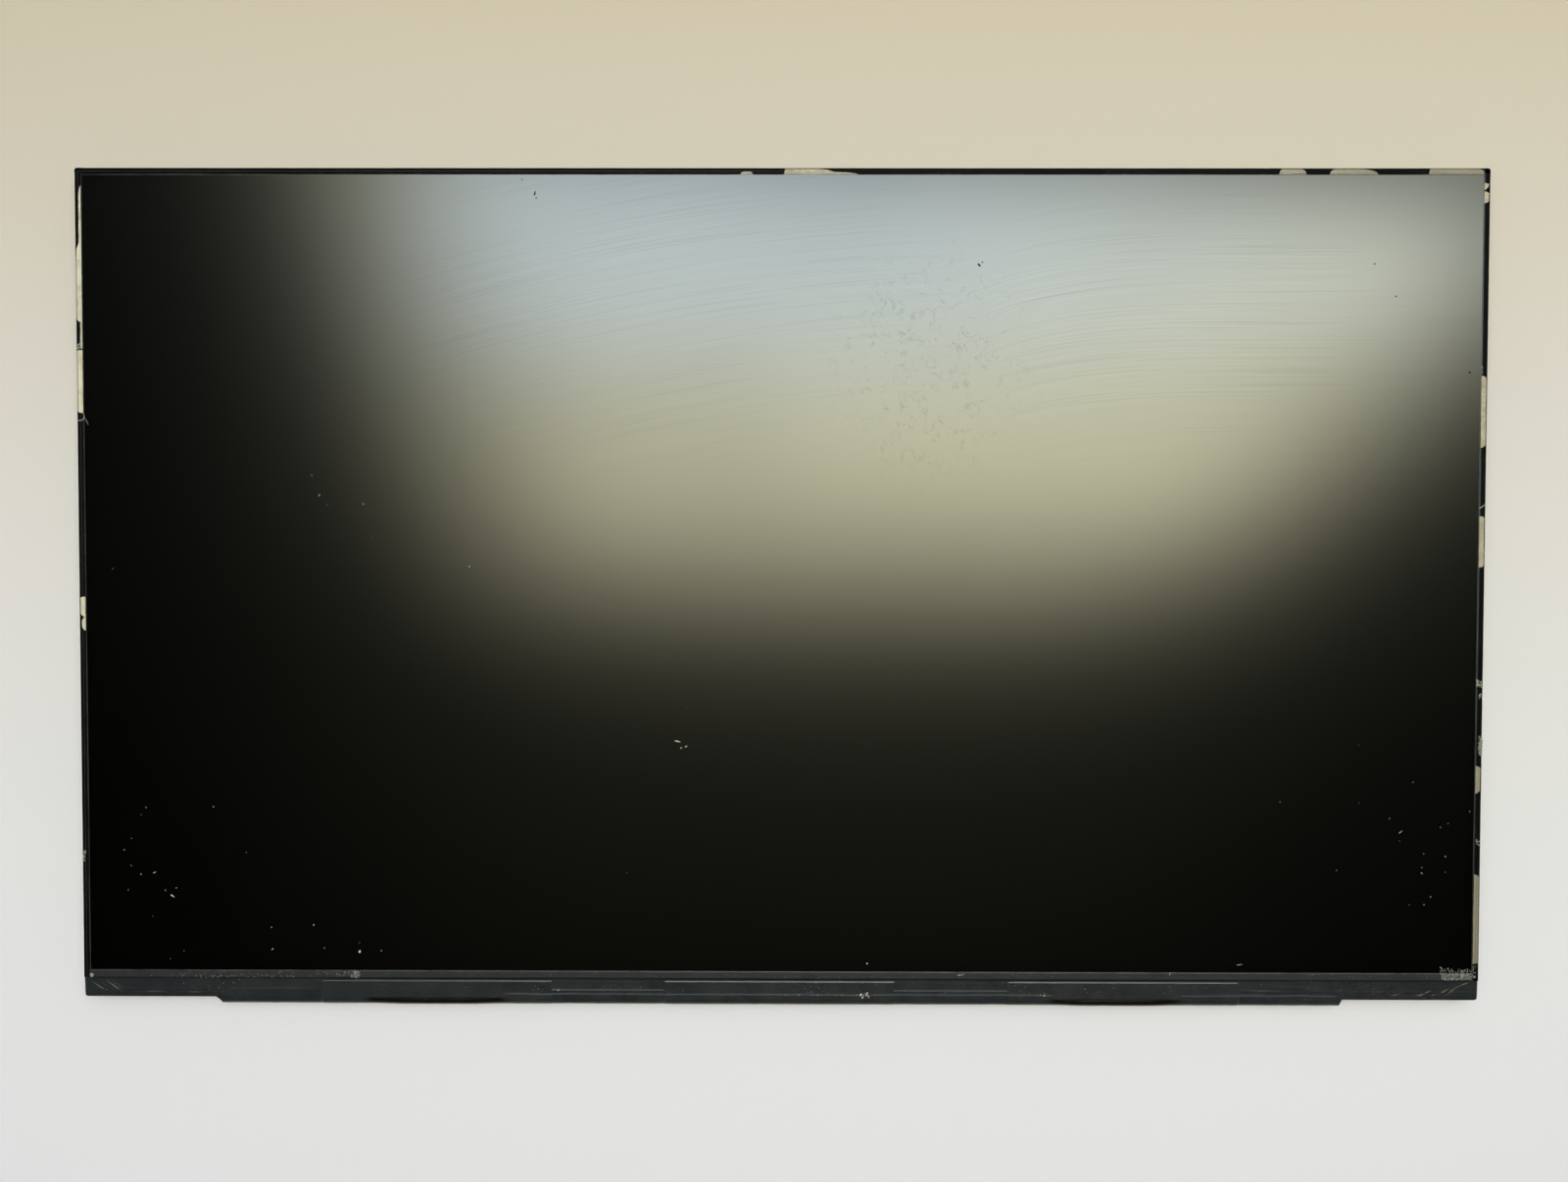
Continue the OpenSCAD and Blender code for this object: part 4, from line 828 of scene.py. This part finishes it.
# Section of an edge tape: (distance in from the panel's outer edge, height), in millimetres
EDGE_TOP = 3.84
SECTION = line([(1.47, 3.72), (1.36, 3.77), (1.14, 3.77), (0.98, 3.825), (0.85, EDGE_TOP),
                (0.12, EDGE_TOP)], 0.12)
SECTION += [(0.05, 3.82), (0.0, 3.75)] + line([(0.0, 3.75), (0.0, 1.6)], 0.5)[1:]
SECTION += [(0.04, 1.51)] + line([(0.12, 1.49), (3.56, 1.49)], 1.2)
REACH = [0.0]
for (d0, z0), (d1, z1) in zip(SECTION, SECTION[1:]):
    REACH.append(REACH[-1] + math.hypot(d1 - d0, z1 - z0))
TO_SIDE = REACH[SECTION.index((0.05, 3.82))]
TO_REAR = REACH[SECTION.index((0.04, 1.51))]
CARRIER_DEPTH = 0.036


def on_section(reach):
    """(inward distance, height) at a distance along the section, in millimetres."""
    for i in range(1, len(REACH)):
        if reach <= REACH[i] or i == len(REACH) - 1:
            share = min((reach - REACH[i - 1]) / (REACH[i] - REACH[i - 1]), 1)
            return tuple(a + (b - a) * share for a, b in zip(SECTION[i - 1], SECTION[i]))


def torn_to(s, tears):
    """How far out from the polariser the tape is missing at a place along its edge."""
    missing = 0.0
    for start, end, ramp_in, ramp_out, depth in tears:
        if start < s < end:
            rise = min((s - start) / ramp_in, (end - s) / ramp_out, 1)
            shape = math.sqrt(1 - (1 - rise) ** 2)
            ragged = 0.06 * shape * noise.noise(Vector((s * 2.4, depth, 3.0)))
            missing = max(missing, depth * shape + ragged)
    return max(missing, 0.0)


def edge_tape(name, pieces_of_edge, put, tears):
    """An edge tape and its carrier. put turns (place along, inward distance, height) into a point.

    pieces_of_edge lists (start, end, where the film begins and ends along its section)."""
    busy = [(start, end) for start, end, *_ in tears]
    film, backing = [], []
    for start, end, least, most in pieces_of_edge:
        for s in stations(start, end, coarse=0.6, fine=0.14, busy=busy):
            film_row, backing_row = [], []
            for level in REACH:
                ripple = 0.016 * noise.noise(Vector((s * 0.7, level * 1.8, 1.0)))
                on_top = level < TO_SIDE
                d, z = on_section(min(max(level, least, torn_to(s, tears)), most))
                x, y, z = put(s, d if on_top else d + abs(ripple), z + ripple if on_top else z)
                film_row.append(Vector((*round_corner(x, y), z)) * MM)
                if level < TO_REAR - 1:
                    d, z = on_section(min(max(level, least, 0.2), most))
                    inset = CARRIER_DEPTH * min(max((z - 3.6) / 0.2, 0), 1)
                    x, y, z = put(s, max(d + abs(ripple), CARRIER_DEPTH), z + ripple - inset)
                    backing_row.append(Vector((*round_corner(x, y), z)) * MM)
            film.append(film_row)
            backing.append(backing_row)
    strip = sheet_from(name + "_strip", film, 0.03 * MM, black_tape)
    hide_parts(name)
    sheet_from(name + "_carrier", backing, 0.012 * MM, carrier)


def climbed(y, z):
    """At the panel's top corners a side tape lies on the frame and no longer on the glass."""
    return z + (EDGE_TOP - z) * soft_step(y, 93.1, 0.2) if z > 3.6 else z


def turned_round(tears):
    """The tears of an edge that runs the other way."""
    return [(-end, -start, ramp_out, ramp_in, depth) for start, end, ramp_in, ramp_out, depth in tears]


# Each tear: start and end along the edge, length of the slope at either end, and how deep it goes
TOP_TEARS = [
    (-9.0, -6.2, 1.1, 0.8, 0.75), (0.8, 12.4, 0.3, 5.2, 1.42), (0.8, 17.5, 0.2, 8.0, 0.72),
    (111.0, 117.1, 0.8, 1.4, 1.34), (122.2, 133.1, 1.5, 4.6, 1.36), (144.3, 157.0, 0.25, 2.4, 1.44),
]
RIGHT_TEARS = [
    (89.5, 91.0, 1.4, 0.15, 1.22), (86.5, 89.2, 0.7, 0.6, 1.25), (32.2, 48.3, 1.0, 0.8, 1.36),
    (5.4, 16.9, 0.7, 0.2, 1.34), (-45.5, -39.2, 1.3, 0.6, 1.3), (-84.1, -63.7, 0.35, 0.7, 1.36),
]
LEFT_TEARS = [
    (59.8, 78.0, 2.6, 8.0, 1.95), (61.5, 90.5, 1.5, 3.0, 0.7), (54.0, 60.6, 0.8, 1.0, 0.62),
    (39.6, 53.7, 1.0, 0.35, 1.9), (-6.3, -1.6, 1.4, 0.3, 1.32), (-9.3, -6.2, 1.5, 1.2, 1.05),
]
ALL = REACH[-1]
edge_tape("top_tape", [(-OUT_X, -156.435, TO_SIDE, ALL), (-156.43, 156.43, 0, ALL),
                       (156.435, OUT_X, TO_SIDE, ALL)],
          lambda s, d, z: (-s, OUT_Y - d, z), turned_round(TOP_TEARS))
edge_tape("right_tape", [(-87.99, 90.69, 0, ALL), (90.7, OUT_Y, 0, TO_REAR)],
          lambda s, d, z: (OUT_X - d, s, climbed(s, z)), RIGHT_TEARS)
edge_tape("left_tape", [(-OUT_Y, -90.7, 0, TO_REAR), (-90.69, 87.99, 0, ALL)],
          lambda s, d, z: (d - OUT_X, -s, climbed(-s, z)), turned_round(LEFT_TEARS))


# Dust, flakes and residue: small bits that cling to the panel, bright on the black surfaces.
# Crumbs of the torn tape's adhesive lie along the tapes, and a few dark grains lie on the screen.
random.seed(7)
pale_dust = grained("pale_dust", (0.42, 0.42, 0.4), (0.75, 0.75, 0.72), (0.6, 0.8), 0.1)
dark_dust = grained("dark_dust", (0.006, 0.006, 0.006), (0.02, 0.018, 0.015), (0.6, 0.8), 0.1)
fluff = grained("grey_fluff", (0.2, 0.2, 0.17), (0.42, 0.41, 0.34), (0.7, 0.9), 0.1)
SCREEN_FACE = 3.84  # height of the polariser's face, in millimetres


def flake(mesh, x, y, z, length, width, turn, rise=0.03):
    """One crumb: an uneven disc with a low, off-centre peak; all in millimetres."""
    corners = []
    for i in range(7):
        angle = 2 * math.pi * (i + random.uniform(-0.25, 0.25)) / 7
        far = random.uniform(0.7, 1.1) / 2
        dx, dy = length * far * math.cos(angle), width * far * math.sin(angle)
        corners.append(mesh.verts.new(Vector((x + dx * math.cos(turn) - dy * math.sin(turn),
                                              y + dx * math.sin(turn) + dy * math.cos(turn), z)) * MM))
    peak = mesh.verts.new(Vector((x + 0.15 * length * random.uniform(-1, 1), y, z + rise)) * MM)
    for a, b in zip(corners, corners[1:] + corners[:1]):
        mesh.faces.new((a, b, peak))
    mesh.faces.new(corners[::-1])


def scatter(name, places, z, material):
    """Crumbs at given places: (x, y, length, width, turn in degrees), in millimetres."""
    mesh = bmesh.new()
    for x, y, length, width, turn in places:
        flake(mesh, x, y, z, length, width, math.radians(turn))
    piece = as_piece(name, mesh, material)


PALE_SPECKS = [  # x, y and size of the bright crumbs on the screen
    (-105.3, 25.7, 0.3), (-101.8, 19.1, 0.22), (-93.7, 19.3, 0.35), (-91.9, 11.9, 0.22),
    (-150.3, 4.7, 0.25), (-21.0, -26.2, 0.25), (-22.3, -35.5, 0.45), (-143.4, -49.3, 0.35),
    (-144.5, -50.9, 0.22), (-128.1, -49.1, 0.35), (-146.8, -56.3, 0.25), (-148.4, -58.9, 0.25),
    (-146.9, -62.5, 0.22), (-144.7, -64.5, 0.3), (-136.7, -67.6, 0.35), (-139.2, -68.1, 0.3),
    (-147.6, -68.1, 0.25), (-142.1, -74.1, 0.25), (-115.2, -76.5, 0.3), (-105.6, -76.0, 0.4),
    (-103.2, -81.2, 0.25), (-95.2, -80.0, 0.22), (-90.3, -81.8, 0.35), (-138.2, -83.7, 0.25),
    (-135.1, -81.9, 0.22), (-120.8, -59.5, 0.2), (112.7, -47.4, 0.3), (125.6, -62.9, 0.25),
    (142.6, -42.9, 0.3), (130.5, -47.6, 0.22), (137.4, -51.1, 0.3), (139.7, -56.2, 0.22),
    (148.9, -53.1, 0.28), (150.6, -52.2, 0.25), (145.2, -59.1, 0.28), (150.1, -59.7, 0.3),
    (144.8, -62.2, 0.22), (150.1, -63.3, 0.25), (146.9, -68.9, 0.28), (142.1, -70.7, 0.22),
    (145.4, -70.6, 0.28), (155.4, -49.5, 0.25), (130.3, -34.5, 0.22), (19.8, -84.4, 0.45),
    (-34.6, -63.9, 0.22),
]
PALE_DASHES = [  # x, y, length, width and turn
    (-103.6, 21.3, 0.8, 0.15, 60), (-69.9, 5.3, 0.7, 0.18, 75), (-69.9, 5.3, 0.6, 0.15, 10),
    (-23.2, -34.0, 1.6, 0.22, -12), (-21.2, -35.2, 0.9, 0.2, 25), (-141.6, -64.1, 0.9, 0.2, 20),
    (-137.6, -69.4, 1.3, 0.3, -35), (-95.2, -82.0, 0.9, 0.55, 50), (139.9, -54.2, 1.1, 0.16, 35),
    (144.8, -63.5, 0.7, 0.15, -20), (104.0, -84.4, 1.6, 0.12, 4), (-115.0, -81.5, 0.6, 0.15, 40),
]
scatter("pale_specks", [(x, y, 1.05 * s, 0.6 * s, 40 * i) for i, (x, y, s) in enumerate(PALE_SPECKS)]
        + PALE_DASHES, SCREEN_FACE, pale_dust)
DARK_SPECKS = [(-57.7, 91.7, 0.4, 0.3, 0), (-54.9, 88.6, 1.3, 0.45, 80), (44.3, 72.8, 1.1, 0.6, -40),
               (132.4, 73.1, 0.8, 0.25, 10), (137.3, 65.9, 0.9, 0.25, 30), (153.9, 49.0, 0.7, 0.6, 0),
               (-54.6, 87.6, 0.5, 0.3, 60), (45.0, 73.4, 0.5, 0.3, 20)]
scatter("dark_specks", DARK_SPECKS, SCREEN_FACE, dark_dust)


def crumbs(x0, x1, y0, y1, count, low, high, slim=0.55):
    """Places of that many crumbs inside a box, from low to high in size; slim is width over length."""
    made = []
    for _ in range(count):
        size = random.uniform(low, high)
        made.append((random.uniform(x0, x1), random.uniform(y0, y1), size * 1.3, size * 1.3 * slim,
                     random.uniform(0, 180)))
    return made


residue = grained("dried_adhesive", (0.12, 0.12, 0.12), (0.4, 0.4, 0.39), (0.35, 0.6), 0.1)
STRIP_FACE = 3.772  # heights of the bottom tape on the glass and on the films
FOLD_FACE = 3.56
EDGE_FACE = 3.845  # and of the edge tapes
# Each row: name, height, finish and slot, single crumbs, and boxes of crumbs as crumbs() takes them
CRUMBS = [
    ("strip_residue", STRIP_FACE, residue, "bottom_tape", [],
     [(149.7, 156.7, -87.75, -86.35, 230, 0.2, 0.6, 0.22), (149.0, 150.6, -86.4, -85.9, 6, 0.3, 0.7, 0.2),
      (-103.6, -97.5, -87.8, -86.6, 26, 0.2, 0.6, 0.2), (-97.4, -95.2, -88.0, -86.4, 60, 0.2, 0.6, 0.3),
      (-140, -104, -87.8, -86.6, 60, 0.1, 0.5, 0.2)]),
    ("screen_residue", SCREEN_FACE, residue, "screen_film", [(149.5, -85.0, 0.9, 0.3, -30)],
     [(149.3, 156.2, -86.1, -85.2, 60, 0.2, 0.5, 0.22)]),
    ("strip_crumbs", STRIP_FACE + 0.003, pale_dust, "bottom_tape",
     [(88.3, -86.6, 0.8, 0.15, 70), (40.9, -87.0, 1.6, 0.15, 4), (41.6, -86.8, 0.4, 0.2, 40)],
     [(-157, 157, -87.8, -86.4, 110, 0.05, 0.14), (-140, -110, -88.05, -87.6, 40, 0.08, 0.2)]),
    ("fold_crumbs", FOLD_FACE, pale_dust, "bottom_tape", [],
     [(18.2, 20.2, -92.3, -91.2, 16, 0.15, 0.5), (-157, 157, -91.3, -88.9, 70, 0.06, 0.16),
      (-4, 24, -91.75, -91.55, 30, 0.15, 0.6, 0.2), (-137, -118, -90.6, -88.6, 8, 0.06, 0.2),
      (-58, -50, -91, -90.2, 5, 0.1, 0.3), (59, 61, -91.8, -91.5, 4, 0.2, 0.4)]),
    ("side_crumbs", EDGE_FACE, fluff, "edge_tape", [],
     [(156.6, 157.7, -21.4, -19.8, 22, 0.2, 0.5), (157.1, 157.8, -24.0, -22.7, 12, 0.2, 0.4),
      (157.0, 157.7, -57.2, -55.8, 12, 0.15, 0.4), (156.5, 156.8, 48.6, 50.6, 12, 0.12, 0.3),
      (-157.7, -156.6, 53.7, 55.4, 18, 0.15, 0.45), (-157.7, -157.3, -61.5, -59.1, 16, 0.2, 0.5),
      (156.6, 157.2, -87.5, -84.6, 26, 0.12, 0.3)]),
]
for name, height, material, slot, singles, boxes in CRUMBS:
    places = [crumb for box in boxes for crumb in crumbs(*box)]
    scatter(name, places + singles, height, material)


# Fibres: a curl of torn film and a hair at the left edge, a shred of torn film across the right edge
# and a tuft of lint caught lower down on it. All are thin round threads with the fluff's finish.
def fibre(name, runs, width, material):
    """Thin round threads, each through a run of points, in millimetres."""
    curve = bpy.data.curves.new(name, "CURVE")
    curve.dimensions = "3D"
    curve.bevel_depth = width / 2 * MM
    curve.bevel_resolution = 2
    for run in runs:
        spline = curve.splines.new("NURBS")
        spline.points.add(len(run) - 1)
        for point, spot in zip(spline.points, run):
            point.co = (*(Vector(spot) * MM), 1)
        spline.use_endpoint_u = True
        spline.order_u = 3
    curve.materials.append(material)
    piece = add(name, curve)
    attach(piece, "root")


fibre("torn_curl", [[(-157.7, 38.0, 3.78), (-157.0, 37.9, 3.83), (-156.4, 38.4, 3.83),
                     (-156.3, 39.0, 3.82), (-156.5, 39.5, 3.8)]], 0.2, fluff)
fibre("hair", [[(-156.3, 38.6, 3.87), (-155.9, 38.2, 3.9), (-155.7, 37.6, 3.88), (-155.4, 37.0, 3.87)]],
      0.1, fluff)
TUFT_THREADS = 60
tuft = []
for _ in range(TUFT_THREADS):
    y = random.uniform(-36.6, -32.9)
    x = 157.35 + random.uniform(0, 0.4)
    tuft.append([(x + random.uniform(-0.4, 0.4), y + random.uniform(-0.6, 0.6), random.uniform(3.82, 3.9))
                 for _ in range(4)])
fibre("lint_tuft", tuft, 0.08, fluff)
fibre("diagonal_shred", [[(156.5, 18.7, 3.8), (157.1, 18.95, 3.81), (157.8, 19.6, 3.8)]], 0.24, fluff)


# Studio: a pale floor with painted light, warmer and darker towards the top, one large soft panel of
# light overhead that shows in the matt screen, and a camera that looks straight down from about 27 cm,
# with the wide lens of a phone.
FLOOR_REACH = 8.0
LIGHT_REACH = 1.6
LIGHT_HEIGHT = 1.0

floor_finish, tree, shader = finish("pale_floor", (0.6, 0.6, 0.6), 0.7, Specular_IOR_Level=0.0)
where, x, y, z = position(tree)
# Painted light: pale and cool at the bottom, turning warmer and darker towards the top
feed(shader, Base_Color=blend(between(y, -0.14, 0.24), (0.845, 0.825, 0.92), (0.54, 0.45, 0.33)))
floor_mesh = bmesh.new()
bmesh.ops.create_grid(floor_mesh, x_segments=1, y_segments=1, size=FLOOR_REACH)
floor = add("floor", mesh_from("floor", floor_mesh, floor_finish))

light_finish = bpy.data.materials.new("soft_light")
light_finish.use_nodes = True
tree = light_finish.node_tree
tree.nodes.remove(tree.nodes["Principled BSDF"])
where, x, y, z = position(tree)
from_left = plus(plus(x, 0.292), times(y, 0.332))
from_right = minus(plus(0.44, y), x)
from_top = minus(minus(0.444, times(x, 0.09)), y)
top_fade = spread(between(from_top, -0.06, 0.06), 0.15, 1.0)
dim_left = times(between(y, 0.29, 0.18), between(x, 0.06, -0.12))
bright_right = times(between(y, 0.16, 0.3), between(x, 0.0, 0.35))
balance = plus(1.0, minus(times(bright_right, 0.2), times(dim_left, 0.14)))
uneven = spread(noise_node(where, 5.0), 0.9, 1.1, 0.3, 0.7)
lit = times(between(from_left, -0.15, 0.15), between(from_right, -0.16, 0.16), between(y, -0.11, 0.13),
            top_fade, uneven, balance)
high = times(between(y, 0.13, 0.34), between(x, -0.5, -0.28))
blue = times(high, between(x, 0.75, 0.05))
color = blend(blue, blend(high, (0.98, 0.95, 0.65), (0.95, 0.99, 0.85)), (0.87, 0.985, 1.0))
faint = times(between(size_of(x), 0.75, 0.15), between(y, -0.7, -0.15))
glow = place(tree, "Emission", {"Color": color, "Strength": plus(times(lit, 6.9), times(faint, 0.07))})
tree.links.new(glow.outputs[0], tree.nodes["Material Output"].inputs["Surface"])
light_mesh = bmesh.new()
bmesh.ops.create_grid(light_mesh, x_segments=1, y_segments=1, size=LIGHT_REACH)
bmesh.ops.translate(light_mesh, verts=light_mesh.verts, vec=(0, 0, LIGHT_HEIGHT))
soft_panel = add("soft_panel", mesh_from("soft_panel", light_mesh, light_finish))
soft_panel.visible_camera = False
soft_panel.visible_shadow = False

fill_data = bpy.data.lights.new("soft_fill", "AREA")
fill_data.energy = 4.5
fill_data.size = 0.9
fill = add("soft_fill", fill_data)
fill.location = (-0.9, -0.1, 1.2)
fill.visible_glossy = False

world = bpy.data.worlds.new("studio")
world.use_nodes = True
tree = world.node_tree
up = place(tree, "SeparateXYZ", {0: place(tree, "TexCoord").outputs["Generated"]}).outputs[2]
sky = blend(between(up, 0.5, 0.1), (0.012, 0.012, 0.012), (1.0, 0.99, 0.97))
background = tree.nodes["Background"]
tree.links.new(sky, background.inputs["Color"])
background.inputs["Strength"].default_value = 0.8
bpy.context.scene.world = world
bpy.context.scene.view_settings.view_transform = "Standard"
bpy.context.scene.view_settings.gamma = 0.92

camera_data = bpy.data.cameras.new("camera")
camera_data.lens = 27.09
camera_data.sensor_width = 36.0
camera_data.clip_start = 0.01
camera = add("camera", camera_data)
camera.location = (0.0019, 0.0061, 0.269)
camera.rotation_euler = Euler([math.radians(angle) for angle in (-1.332, 0.226, 0.094)])
bpy.context.scene.camera = camera
